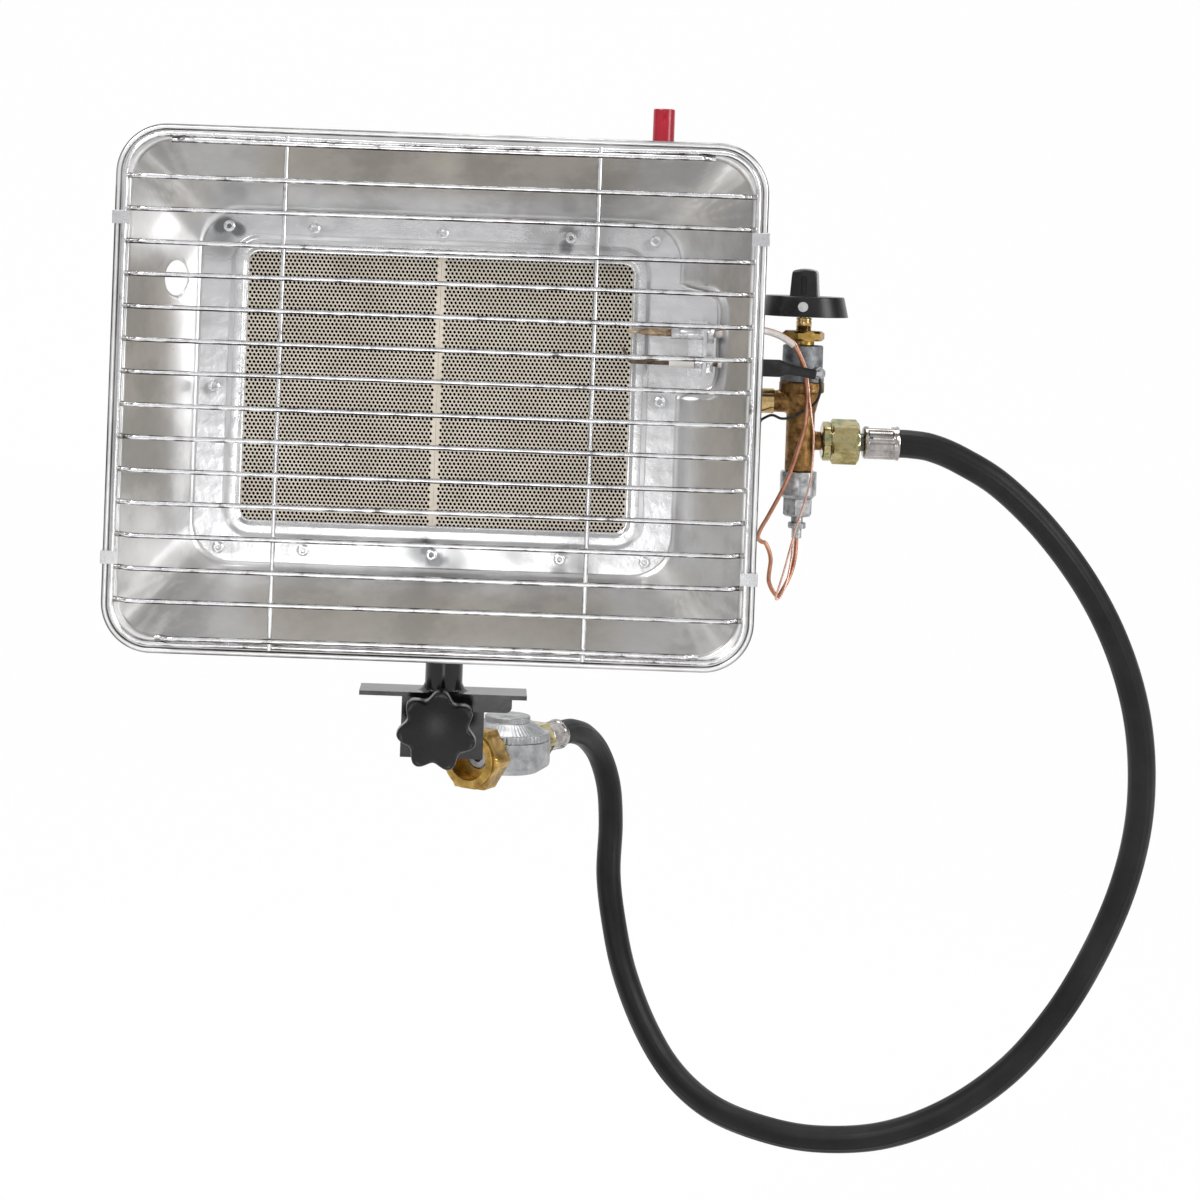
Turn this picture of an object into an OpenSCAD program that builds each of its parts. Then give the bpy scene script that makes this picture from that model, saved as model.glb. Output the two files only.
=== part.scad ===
// Infrared gas heater head on a tilting post, with a screw clamp, a valve, a hose and a regulator.
// Origin: middle of the clamp plate's underside, on the edge that the clamp grips.
// X points right, Y to the back and Z up. The burner faces -Y.

/* [Reflector] */
// Outer width of the rolled rim
rim_w = 296; // [280:1:320]
// Outer height of the rolled rim
rim_h = 240; // [226:1:260]
// Outer corner radius of the rim
rim_r = 23; // [18:1:30]
// Diameter of the rolled bead
bead_d = 3; // [2:0.5:4]
// Width of the flat lip from the rim's edge to the slanted wall
lip_w = 10; // [8:0.5:14]
// Depth from the lip to the flat base
dish_depth = 48; // [40:1:60]
// Width of the flat base
base_w = 227; // [224:1:240]
// Height of the flat base
base_h = 168; // [166:1:176]
// Corner radius of the flat base
base_r = 20; // [14:1:24]
// Sheet thickness of the pressed parts
sheet_t = 1; // [0.8:0.1:1.5]
// Diameter of the lighting hole in the left wall
light_hole_d = 16.7; // [10:0.1:20]
// Reach of the electrode pocket beyond the base's edge
pocket_reach = 18.5; // [16:0.5:22]
// Height of the electrode pocket
pocket_h = 50; // [44:1:56]
// Sideways offset of the head from the post
head_x = -7.7; // [-12:0.1:4]
// Height of the head's centre over the seat
head_z = 146.7; // [140:0.1:170]
// Distance of the base in front of the post's axis
head_front = 27; // [25:0.5:40]

/* [Grille] */
// Diameter of the ring wire
ring_d = 2.4; // [2:0.1:3]
// Diameter of the cross wires
bar_d = 2.3; // [1.8:0.1:2.8]
// Number of long cross wires
bar_count = 14; // [10:1:15]
// Pitch of the long cross wires
bar_pitch = 14.75; // [12:0.05:15]
// Height over the centre of the short top wire
top_bar_z = 112.6; // [110:0.1:116]
// Depth under the centre of the short bottom wire
bottom_bar_z = 112.4; // [110:0.1:116]
// Length of the cranked wire ends
crank_run = 5.5; // [3:0.5:8]
// Diameter of the upright stay wires
stay_d = 2; // [1.6:0.1:2.6]
// Distance between the two stay wires
stay_gap = 141.6; // [100:0.2:180]
// Height of the fixing clips over and under the centre
clip_z = 77; // [60:1:90]
// Length of a fixing clip along the rim
clip_len = 6; // [4:0.5:10]

/* [Burner] */
// Width of the window in front of the plaques
window_w = 181; // [176:0.5:182]
// Height of the window in front of the plaques
window_h = 126; // [120:0.5:128]
// Width of the pressed ridge around the window
ridge_w = 6; // [4:0.5:7]
// Width of one ceramic plaque
plaque_w = 92; // [90:0.5:95]
// Height of one ceramic plaque
plaque_h = 132; // [130:0.5:134]
// Thickness of a ceramic plaque
plaque_t = 13; // [11:0.5:14]
// Thickness of the fibre gasket around the plaques
gasket_t = 3; // [2:0.5:4]
// Depth of the mixing box behind the base sheet
box_depth = 35; // [33:1:45]
// Head diameter of the tubular rivets
rivet_head_d = 5.6; // [4.5:0.1:6.5]
// Hole through the tubular rivets
rivet_hole_d = 2; // [1:0.1:2.4]
// Outer diameter of the mixing tube
tube_d = 17; // [14:0.5:18]
// Mouth diameter of the mixing tube
tube_mouth_d = 21; // [19:0.5:21.5]

/* [Electrodes] */
// Height of the flame sensor over the head's centre
sensor_z = 32; // [28:0.5:36]
// Height of the spark electrode over the head's centre
spark_z = 17.9; // [14:0.1:20]
// Distance of both electrodes in front of the base
electrode_front = 9; // [7:0.5:12]
// Diameter of the flame sensor's body
sensor_d = 5.9; // [5:0.1:7]
// Diameter of the spark electrode's insulator
insulator_d = 4.4; // [4:0.1:6]

/* [Valve] */
// Distance of the valve's upright axis from the head's centre
valve_reach = 174.2; // [173:0.1:190]
// Diameter of the valve's upright body
valve_body_d = 13.6; // [12:0.1:15]
// Length of the body under the outlet's axis
valve_drop = 33.2; // [30:0.1:40]
// Diameter of the flange on top of the body
valve_flange_d = 21.5; // [20:0.1:24]
// Diameter of the die-cast bonnet
bonnet_d = 19.4; // [18:0.1:21]
// Height of the die-cast bonnet
bonnet_h = 17.6; // [16:0.1:20]
// Diameter of the stem bushing
bushing_d = 7.4; // [7:0.1:9]
// Length of the stem bushing above the bonnet
bushing_h = 13; // [11:0.1:16]
// Width across the flats of the panel nut
panel_nut_af = 18.3; // [17:0.1:22]
// Height of the panel nut
panel_nut_h = 4.7; // [3:0.1:6]
// Diameter of the gas spindle
spindle_d = 5; // [4:0.1:6]
// Travel of the gas knob when it is pressed
push_travel = 4; // [3:0.5:5]
// Depth of the inlet's axis under the outlet's axis
inlet_drop = 18.4; // [16:0.1:22]
// Diameter of the magnet housing
magnet_d = 17.6; // [15:0.1:19]
// Height of the magnet housing
magnet_h = 13; // [10:0.5:18]
// Width across the flats of the magnet nut
magnet_nut_af = 12.6; // [12:0.1:15]
// Height of the magnet nut
magnet_nut_h = 8.6; // [6:0.1:10]

/* [Gas knob] */
// Diameter of the knob's skirt at its lower edge
knob_d = 42; // [38:0.5:44]
// Diameter of the knob's skirt at its upper edge
knob_top_d = 37.6; // [34:0.2:40]
// Height of the knob's skirt
skirt_h = 9.7; // [9:0.1:12]
// Width of the knob's grip
grip_w = 13.2; // [10:0.1:18]
// Height of the knob's grip
grip_h = 13.2; // [8:0.1:16]
// Diameter of the pointer dot
dot_d = 4.8; // [3:0.1:6]
// Angle of the pointer to the left of the front when the gas is off
pointer_angle = 8.5; // [0:0.5:20]

/* [Igniter] */
// Diameter of the push button
button_d = 10.4; // [8:0.1:12]
// Length of the button that stands out of its body
button_h = 22.7; // [16:0.1:26]
// Travel of the push button
button_travel = 7; // [4:0.5:8]
// Diameter of the igniter's body
piezo_d = 15; // [14:0.5:17]
// Length of the igniter's body
piezo_len = 37; // [34:1:40]
// Sideways distance of the igniter from the head's centre
piezo_reach = 103.2; // [98:0.1:106]

/* [Post and clamp] */
// Diameter of the post
post_d = 18; // [16:0.5:20]
// Height of the tilt bolt over the seat
tilt_z = 57; // [54:0.5:60]
// Diameter of the tilt bolt
tilt_bolt_d = 8; // [6:0.5:8]
// Width of the clamp plate
clamp_w = 80; // [60:1:100]
// Thickness of the clamp plate
clamp_t = 2.4; // [2:0.2:6]
// Width of the slot between the jaws
slot_w = 14; // [13:0.5:18]
// Depth of the rear jaw under the seat
rear_jaw_h = 32; // [28:1:40]
// Depth of the clamp screw under the seat
screw_drop = 12.2; // [12:0.1:16]
// Sideways offset of the clamp screw
screw_x = -2; // [-4:0.5:4]
// Diameter of the clamp screw
screw_d = 8; // [6:0.5:8]
// Travel of the clamp screw towards the rear jaw
screw_close = 5; // [3:0.5:6]
// Travel of the clamp screw away from the rear jaw
screw_open = 2; // [1:0.5:2]
// Diameter over the lobes of the star knob
star_d = 38.5; // [34:0.5:42]
// Depth of the hollows between the lobes
star_hollow = 4.2; // [2:0.1:5]
// Number of lobes on the star knob
star_lobes = 7; // [5:1:8]
// Thickness of the star knob
star_t = 12; // [9:0.5:15]
// Diameter of the swivel pad
pad_d = 14; // [12:0.5:16]
// Thickness of the swivel pad
pad_t = 3; // [2.5:0.5:4]

/* [Hose and regulator] */
// Outer diameter of the hose
hose_d = 13.6; // [12:0.1:14]
// Outer diameter of the crimped sleeves
ferrule_d = 15.7; // [15:0.1:18]
// Length of the crimped sleeves
ferrule_len = 17; // [14:0.5:22]
// Width across the flats of the hose nuts
hose_nut_af = 19; // [17:0.5:22]
// Length of the hose nuts
hose_nut_len = 13.6; // [10:0.1:16]
// Diameter of the regulator's lower half
regulator_d = 46; // [42:1:50]
// Width across the flats of the regulator's union nut
union_af = 30; // [27:0.5:32]
// Inner diameter of the union nut's thread
union_bore_d = 21.8; // [20:0.1:24]
// Depth of the union nut's thread
union_depth = 10.5; // [8:0.5:12]

/* [Hidden] */
$fn = 64;

// Gap of a running fit on the radius
run_gap = 0.05;
// Gap between parts that only pass each other
pass_gap = 0.3;
// Overrun of a cut past the face that it opens
cut = 1;

// Reflector
wall_open_w = rim_w - 2 * lip_w;
wall_open_h = rim_h - 2 * lip_w;
wall_open_r = rim_r - lip_w / 2;
wall_skin = 1.1 * sheet_t;
pocket_z = 28.3;
pocket_in = 90;
pocket_out = base_w / 2 + pocket_reach;
pocket_r = 12;
pocket_front = 38;
gasket_w = 2 * plaque_w + 2 * gasket_t;
gasket_h = plaque_h + 2 * gasket_t;
box_in_w = gasket_w + 1;
box_in_h = gasket_h + 1;
base_open_w = box_in_w;
base_open_h = box_in_h;
light_hole_y = -15.5;
light_hole_z = 49.6;

// Grille, measured from the head's centre
ring_w = rim_w - 2 * bead_d - 3.5;
ring_h = rim_h - 2 * bead_d - 3.5;
ring_r = rim_r - bead_d - 1.75;
lip_front = -dish_depth - sheet_t;
ring_y = lip_front - ring_d / 2;
stay_y = ring_y - ring_d / 2 - stay_d / 2;
bar_y = stay_y - stay_d / 2 - bar_d / 2;

// Burner
frame_t = sheet_t;
frame_margin = 1;
plaque_y = 0.3;
rail_y = plaque_y + plaque_t + pass_gap;
rail_t = 0.9;
rail_w = 6;
flange_w = base_w - 10;
flange_h = base_h - 6;
box_w = box_in_w + 2 * sheet_t;
box_h = box_in_h + 2 * sheet_t;
box_back = sheet_t + box_depth;
spreader_y = 22;
spreader_t = 0.8;
spreader_w = 168;
spreader_h = 112;
rivet_x = [base_w * 0.266, base_w * 0.442];
rivet_z = (base_h + window_h) / 4 + ridge_w / 2 - 0.9;
rivet_side_x = (base_w + window_w) / 4 + ridge_w / 2 - 0.1;
rivet_drop = 1;
rivet_shank_d = 3.2;
rivet_places = concat(
    [for (x = [-rivet_x[1], -rivet_x[0], 0, rivet_x[0], rivet_x[1]], s = [-1, 1])
        [x, s * rivet_z - rivet_drop]],
    [[-rivet_side_x, -rivet_drop], [rivet_side_x, -rivet_drop]]);

// Valve, measured from the crossing of its upright axis and the outlet's axis
valve_y = 25;
tube_in_x = 88;
tube_straight_x = 118;
tube_end_x = 128;
tube_wall = 1;
valve_x = head_x + valve_reach;
outlet_d = 9.5;
collar_d = 12;
collar_out = 13;
collar_in = 20.3;
bracket_t = 1.5;
thread_end = 37;
injector_len = 7;
injector_af = 8;
flange_low = 4.5;
flange_high = 9.8;
bonnet_top = flange_high + bonnet_h;
bushing_top = bonnet_top + bushing_h;
nut_low = bonnet_top + 2;
bonnet_bore_d = 13.6;
bonnet_bore_top = bonnet_top - 3;
plate_d = 12;
plate_h = 1.5;
plate_z = flange_high + 9.5;
spring_d = 9;
spring_bore_d = 6.4;
knob_low = bushing_top + 0.7;
knob_wall = 1.6;
hub_d = 12;
hub_low = bushing_top + push_travel + 0.5;
spindle_top = knob_low + skirt_h + 6;
inlet_boss_d = 9;
inlet_ring_x = 10.4;
inlet_ring_d = 18;
inlet_ring_t = 3.8;
nut_gap = 0.2;
inlet_nut_x = inlet_ring_x + inlet_ring_t + nut_gap;
nipple_d = 8.6;
nipple_len = 2.2;
ferrule_x = inlet_nut_x + hose_nut_len + nipple_len;
hose_start_x = ferrule_x + ferrule_len;
magnet_low = -valve_drop - magnet_h;
magnet_nut_low = magnet_low - magnet_nut_h;
terminal_low = magnet_nut_low - 10.5;

// Electrodes, measured from the head's centre
electrode_y = -electrode_front;
plate_x = 123.3;
plate_t = 1.6;
nut_spin = 11.6;
sensor_end_x = 128.5;
spark_end_x = 130.5;
insulator_x = plate_x - 15.4;
probe_x = plate_x - 14.9;

// Igniter
piezo_y = 17;
piezo_bottom = 78;
piezo_top = piezo_bottom + piezo_len;
shelf_z = 108;
shelf_t = 1.5;
button_seat = 7;
button_low = piezo_top - button_seat;

// Clamp
seat_half = slot_w / 2;
jaw_t = 4;
land_t = 0.3;
eye_w = 14;
cheek_t = 2.5;
cheek_r = 9.5;
star_valley = star_d / 2 - star_hollow;
star_hub_d = 17;
star_hub_t = 6;
screw_front = -seat_half - jaw_t - screw_close - 0.5;
pad_front = -seat_half + screw_open + 1.5;
pad_bore_depth = 1.8;
tip_d = 5;

// Regulator, measured along its own axis from the mouth of the union nut
regulator_place = [12.5, 98.6, -50];
regulator_turn = 60;
union_len = 16;
union_neck_d = 11.8;
regulator_x = 41;
regulator_low = -11;
regulator_mid = 6;
cap_d = regulator_d - 0.6;
cap_h = 12;
outlet_x = regulator_x + regulator_d / 2;
far_nut_x = outlet_x + 0.2;
far_ferrule_x = far_nut_x + hose_nut_len + nipple_len;
far_hose_x = far_ferrule_x + ferrule_len;

// The hose's route between the two sleeves
hose_start = [valve_x + hose_start_x + 0.3, valve_y - head_front, head_z - inlet_drop];
hose_finish = regulator_place + (far_hose_x + 0.3) * [cos(regulator_turn), sin(regulator_turn), 0];
hose_route = concat([hose_start], [
    [219.5, -2, 128.2], [230, -2, 126.8], [244, -2, 121.4], [264, -1, 109.8], [287, 3, 89],
    [309, 9, 62], [326, 16, 33], [338, 24, 2], [344, 31, -29], [345, 39, -61], [340, 47, -94],
    [329, 55, -128], [313, 62, -161], [291, 68, -191], [263, 75, -215], [232, 84, -231],
    [200, 96, -238], [173, 111, -238.5], [148, 132, -235], [129, 156, -225], [115, 181, -208.5],
    [104, 206, -186], [98, 224, -163], [94.5, 236, -138], [95, 241.5, -111], [92.8, 237.6, -88.1],
    [86.4, 226.7, -68.6], [77.9, 211.8, -56.2], [69.8, 197.8, -50.9], [64.5, 188.7, -50]],
    [hose_finish]);

// Routes of the leads, from the crossing of the valve's axis and the outlet's axis
probe_tail = [sensor_end_x + 0.1 - valve_reach, electrode_y - valve_y, sensor_z];
sleeve_route = [probe_tail, [-42.5, -34, 32.1], [-38, -32, 32.7], [-31.5, -26, 33.5], [-25, -19, 33.9],
    [-19.5, -14, 33.7],
    [-12.9, -12.6, 31.8], [-8, -12.3, 29], [-5.7, -12.2, 27.3]];
lead_route = [[-5.7, -12.2, 27.3], [-3.2, -12.2, 23], [-0.6, -12.3, 17], [0.8, -12.6, 10],
    [1.6, -12.4, 2], [0.5, -12, -12], [-3.7, -12, -27.6], [-8, -12, -39.7], [-14.6, -12, -53.2],
    [-18.5, -12, -60.5], [-19.6, -12, -64.5], [-18, -12, -66.3], [-15.6, -12, -67.5],
    [-13.2, -12, -74.4], [-13.7, -12, -85], [-9.5, -11, -91.9], [-6.3, -9.5, -88.4],
    [-2.5, -6, -81], [-0.6, -2.5, -74], [0, 0, -67.5], [0, 0, terminal_low]];
wire_route = [[2.3, -13.9, 3], [3.9, -13.4, -7.3], [5.1, -13.2, -16.8], [4.4, -13, -35.7],
    [1.5, -13.4, -47.7], [-2.7, -14.2, -62], [-6.8, -15, -78.7], [-9.6, -15, -89],
    [-10.4, -14.4, -93], [-8.2, -13.4, -92.2], [-5.4, -11.6, -86], [-3.4, -8.6, -77.5], [-2.4, -5, -71],
    [-1.9, -2.2, terminal_low - 1]];
earth_route = [[6.9, -13.2, 12.2], [7.5, -13.2, 6.9], [5.6, -11.6, 0.6], [-0.5, -9.4, -4.2],
    [-5.2, -8.2, -7], [-10, -8.2, -7.8], [-14.5, -7.2, -6.4], [-18.4, -3, -8.6],
    [-19.2, -0.6, -10]];
spark_route = [[piezo_reach, piezo_y, piezo_bottom - 0.2], [103.2, 17.2, 70], [110, 18, 54], [124, 15, 40],
    [137, 8, 28], [141.5, -1, 20], [138, -7.5, 18], [spark_end_x, electrode_y, spark_z]];

// Colours
satin_steel = [0.72, 0.71, 0.70];
bright_steel = [0.85, 0.85, 0.86];
chrome_wire = [0.78, 0.78, 0.80];
cream_ceramic = [0.86, 0.79, 0.66];
brass = [0.62, 0.47, 0.20];
zinc_yellow = [0.72, 0.66, 0.36];
cast_grey = [0.42, 0.43, 0.44];
black_plastic = [0.05, 0.05, 0.055];
black_paint = [0.03, 0.03, 0.03];
copper = [0.72, 0.42, 0.28];

// ---- Helpers ----

// Places its children at the head's centre, on the front of the base sheet
module at_head() {
    translate([head_x, -head_front, head_z]) children();
}

// Places its children at the crossing of the valve's upright axis and the outlet's axis
module at_valve() {
    at_head() translate([valve_reach, valve_y, 0]) children();
}

// Places its children at the regulator's mouth, with X along its axis
module at_regulator() {
    translate(regulator_place) rotate([0, 0, regulator_turn]) children();
}

// A rectangle with round corners
module round_rect(w, h, r) {
    square([w - 2 * r, h], center = true);
    square([w, h - 2 * r], center = true);
    for (x = [-1, 1], y = [-1, 1]) translate([x * (w / 2 - r), y * (h / 2 - r)]) circle(r);
}

// Sets a flat outline upright, facing the front, from depth y to depth y + t
module upright(y, t) {
    translate([0, y + t, 0]) rotate([90, 0, 0]) linear_extrude(t) children();
}

// An upright plate with round corners
module plate(w, h, r, y, t) {
    upright(y, t) round_rect(w, h, r);
}

// A closed rectangle of round wire, w by h on its centre line, in an upright plane
module wire_frame(w, h, r, d) {
    for (s = [-1, 1]) {
        translate([0, 0, s * h / 2]) rotate([0, 90, 0]) cylinder(d = d, h = w - 2 * r, center = true);
        translate([s * w / 2, 0, 0]) cylinder(d = d, h = h - 2 * r, center = true);
    }
    for (k = [0:3]) {
        x = (k == 0 || k == 3) ? 1 : -1;
        z = (k < 2) ? 1 : -1;
        translate([x * (w / 2 - r), 0, z * (h / 2 - r)])
            rotate([90, 0, 0])
                rotate([0, 0, 90 * k]) rotate_extrude(angle = 90) translate([r, 0]) circle(d = d);
    }
}

// A hexagonal bar, af across its flats, along Z
module hex_bar(af, h) {
    cylinder(d = af / cos(30), h = h, $fn = 6);
}

// A cylinder along X that starts at x
module bar_x(d, x, len) {
    translate([x, 0, 0]) rotate([0, 90, 0]) cylinder(d = d, h = len);
}

// A hexagonal bar along X that starts at x, with a flat on top
module hex_x(af, x, len) {
    translate([x, 0, 0]) rotate([0, 90, 0]) rotate([0, 0, 30]) hex_bar(af, len);
}

// Unit vector
function unit(v) = v / norm(v);

// Point at share t between b and c of a smooth curve through a, b, c and d
function curve_point(a, b, c, d, t) =
    0.5 * (2 * b + (c - a) * t + (2 * a - 5 * b + 4 * c - d) * t * t
        + (3 * b - a - 3 * c + d) * t * t * t);

// Smooth curve through all points, with n steps from each point to the next
function smooth(p, n) = [
    for (i = [0:len(p) - 2], k = [0:n - 1])
        curve_point(p[max(i - 1, 0)], p[i], p[i + 1], p[min(i + 2, len(p) - 1)], k / n),
    p[len(p) - 1]];

// Direction of a curve at point i
function heading(p, i) = unit(p[min(i + 1, len(p) - 1)] - p[max(i - 1, 0)]);

// Side vectors along a curve, each turned as little as possible from the one before it
function sides_along(p, start) = [
    for (i = 0, s = unit(start - (start * heading(p, 0)) * heading(p, 0)); i < len(p);
        i = i + 1, t = heading(p, min(i, len(p) - 1)), s = unit(s - (s * t) * t)) s];

// A round tube swept along points, with m flats around
module swept(p, d, m, start = [0, 1, 0]) {
    side = sides_along(p, start);
    ring = [for (i = [0:len(p) - 1], k = [0:m - 1])
        p[i] + d / 2 * (cos(360 * k / m) * side[i] + sin(360 * k / m) * cross(heading(p, i), side[i]))];
    walls = [for (i = [0:len(p) - 2], k = [0:m - 1], h = [0, 1])
        let (a = i * m + k, b = i * m + (k + 1) % m)
            h == 0 ? [a, b + m, b] : [a, a + m, b + m]];
    caps = [[for (k = [0:m - 1]) k], [for (k = [m - 1:-1:0]) (len(p) - 1) * m + k]];
    polyhedron(ring, concat(walls, caps));
}

// ---- Burner head ----

// The dish's solid between two outlines, grown by g, from the lip to depth y
module dish_solid(g, front, back) {
    hull() {
        plate(wall_open_w + 2 * g, wall_open_h + 2 * g, wall_open_r + g, -dish_depth - front, 0.01, $fn = 48);
        plate(base_w + 2 * g, base_h + 2 * g, base_r + g, back - 0.01, 0.01, $fn = 48);
    }
}

// The pocket's solid, grown by g
module pocket_solid(g, back) {
    w = pocket_out - pocket_in + 2 * g;
    hull() {
        translate([pocket_in - g + w / 2, 0, pocket_z]) {
            plate(w, pocket_h + 2 * g, pocket_r, back - 0.01, 0.01, $fn = 32);
            plate(w, pocket_h + 6 + 2 * g, pocket_r, -pocket_front, 0.01, $fn = 32);
        }
    }
}

module reflector() {
    color(satin_steel) at_head() {
        difference() {
            union() {
                dish_solid(wall_skin, 0, sheet_t);
                pocket_solid(wall_skin, sheet_t);
                plate(rim_w - bead_d, rim_h - bead_d, rim_r - bead_d / 2, lip_front, sheet_t);
            }
            dish_solid(0, cut, 0);
            pocket_solid(0, 0);
            plate(wall_open_w, wall_open_h, wall_open_r, lip_front - cut, sheet_t + 2 * cut);
            plate(base_open_w, base_open_h, 4, -cut, sheet_t + 2 * cut);
            for (p = rivet_places) {
                translate([p[0], -cut, p[1]])
                    rotate([-90, 0, 0]) cylinder(d = rivet_shank_d + 0.2, h = sheet_t + 2 * cut);
            }
            translate([-wall_open_w / 2 - cut, light_hole_y, light_hole_z])
                rotate([0, 90, 0]) cylinder(d = light_hole_d, h = 30);
            for (z = [sensor_z, spark_z]) {
                translate([pocket_out - 3, electrode_y, z])
                    rotate([0, 90, 0]) cylinder(d = 7.5, h = 6);
            }
        }
        translate([0, lip_front + sheet_t / 2, 0])
            wire_frame(rim_w - bead_d, rim_h - bead_d, rim_r - bead_d / 2, bead_d);
    }
}

// Front outline of the frame, with its tongue into the pocket
module frame_outline(inset) {
    round_rect(base_w - 2 * inset, base_h - 2 * inset, base_r - inset);
    translate([(pocket_in + pocket_out) / 2 - inset / 2, pocket_z])
        round_rect(pocket_out - pocket_in - inset, pocket_h - 2 * inset, pocket_r - inset);
}

module burner_frame() {
    ridge = window_w + 2 + ridge_w;
    color(bright_steel) at_head() difference() {
        union() {
            upright(-frame_t, frame_t) frame_outline(frame_margin);
            translate([0, -frame_t, 0]) intersection() {
                wire_frame(ridge, window_h + 2 + ridge_w, 5 + ridge_w / 2, ridge_w);
                translate([0, -ridge_w / 4, 0])
                    cube([rim_w, ridge_w / 2 + frame_t, rim_h], center = true);
            }
        }
        plate(window_w, window_h, 5, -ridge_w, 2 * ridge_w);
        for (p = rivet_places) {
            translate([p[0], -cut - frame_t, p[1]])
                rotate([-90, 0, 0]) cylinder(d = rivet_shank_d + 0.2, h = frame_t + 2 * cut);
        }
    }
}

module frame_rivets() {
    head_t = 1.2;
    color(bright_steel) at_head() for (p = rivet_places) translate([p[0], 0, p[1]]) {
        rotate([-90, 0, 0]) difference() {
            union() {
                translate([0, 0, -frame_t - head_t]) cylinder(d = rivet_head_d, h = head_t);
                translate([0, 0, -frame_t - 0.1]) cylinder(d = rivet_shank_d, h = frame_t + 2 * sheet_t + 0.2);
                translate([0, 0, 2 * sheet_t]) cylinder(d = rivet_head_d - 1, h = 0.8);
            }
            translate([0, 0, -5]) cylinder(d = rivet_hole_d, h = 10);
        }
    }
}

// One ceramic plaque, side -1 for the left one and 1 for the right one
module plaque(side) {
    color(cream_ceramic) at_head() translate([side * (plaque_w / 2 + 0.05), 0, 0])
        plate(plaque_w, plaque_h, 1.5, plaque_y, plaque_t);
}

module plaque_left() {
    plaque(-1);
}

module plaque_right() {
    plaque(1);
}

module plaque_gasket() {
    color([0.90, 0.89, 0.85]) at_head() difference() {
        plate(gasket_w, gasket_h, 4, 0.05, plaque_t - 0.5);
        plate(2 * plaque_w + 0.4, plaque_h + 0.4, 1.6, -cut, plaque_t + 2 * cut);
    }
}

module burner_housing() {
    color(satin_steel) at_head() {
        difference() {
            union() {
                plate(flange_w, flange_h, base_r - 4, sheet_t, sheet_t);
                plate(box_w, box_h, 5, sheet_t, box_depth);
            }
            plate(box_in_w, box_in_h, 4, sheet_t - cut, box_depth - sheet_t + cut);
            for (p = rivet_places) {
                translate([p[0], 0, p[1]])
                    rotate([-90, 0, 0]) cylinder(d = rivet_shank_d + 0.2, h = 3 * sheet_t);
            }
            translate([0, valve_y, 0]) bar_x(tube_d + 0.2, box_in_w / 2 - cut, 4);
            for (x = [-22, 22], y = [-5, 5]) {
                translate([x - head_x, y + head_front, -box_h / 2 - cut])
                    cylinder(d = 5.2, h = 3 * sheet_t + cut);
            }
        }
        difference() {
            plate(box_in_w + 0.2, box_in_h + 0.2, 4, rail_y, rail_t);
            plate(box_in_w - 2 * rail_w, box_in_h - 2 * rail_w, 4, rail_y - cut, rail_t + 2 * cut);
        }
    }
}

module gas_spreader() {
    rows = 5;
    columns = 8;
    color(satin_steel) at_head() {
        difference() {
            plate(spreader_w, spreader_h, 6, spreader_y, spreader_t);
            for (i = [0:columns - 1], k = [0:rows - 1]) {
                translate([(i - (columns - 1) / 2) * 20, spreader_y - cut, (k - (rows - 1) / 2) * 20])
                    rotate([-90, 0, 0]) cylinder(d = 5, h = 3);
            }
        }
        for (x = [-1, 1], z = [-1, 1]) {
            translate([x * (spreader_w / 2 - 6), spreader_y + spreader_t, z * (spreader_h / 2 - 6)])
                rotate([-90, 0, 0]) cylinder(d = 4, h = box_back - sheet_t - spreader_y - spreader_t);
        }
    }
}

module venturi_tube() {
    color(satin_steel) at_head() translate([0, valve_y, 0]) difference() {
        union() {
            bar_x(tube_d, tube_in_x, tube_straight_x - tube_in_x);
            translate([tube_straight_x, 0, 0]) rotate([0, 90, 0])
                cylinder(d1 = tube_d, d2 = tube_mouth_d, h = tube_end_x - tube_straight_x);
            bar_x(tube_d + 4, box_w / 2, 1);
        }
        bar_x(tube_d - 2 * tube_wall, tube_in_x - cut, tube_straight_x - tube_in_x + 2 * cut);
        translate([tube_straight_x, 0, 0]) rotate([0, 90, 0])
            cylinder(d1 = tube_d - 2 * tube_wall, d2 = tube_mouth_d - 2 * tube_wall,
                h = tube_end_x - tube_straight_x + 0.01);
    }
}

module injector() {
    color(brass) at_valve() difference() {
        hex_x(injector_af, -thread_end - injector_len, injector_len);
        bar_x(0.6, -thread_end - injector_len - cut, 3);
        bar_x(4, -thread_end - injector_len + 1, injector_len);
    }
}

// Folded strip that holds the valve's outlet in line with the mixing tube
module valve_bracket() {
    strip_h = 24;
    foot_w = 40;
    plate_left = valve_reach - collar_in - bracket_t;
    color(satin_steel) at_head() difference() {
        union() {
            translate([box_w / 2 - foot_w, box_back, -strip_h / 2])
                cube([plate_left + bracket_t - box_w / 2 + foot_w, bracket_t, strip_h]);
            translate([plate_left, valve_y - 11, -strip_h / 2])
                cube([bracket_t, box_back + bracket_t - valve_y + 11, strip_h]);
        }
        translate([0, valve_y, 0]) bar_x(outlet_d + 0.2, plate_left - cut, bracket_t + 2 * cut);
    }
}

// ---- Grille ----

module grille_ring() {
    color(chrome_wire) at_head() translate([0, ring_y, 0]) wire_frame(ring_w, ring_h, ring_r, ring_d);
}

// Height of a cranked end between the ring's plane at share 0 and the front at share 1
function crank_point(x, share) = [x, ring_y + (bar_y - ring_y) * (1 - cos(180 * share)) / 2, 0];

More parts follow.
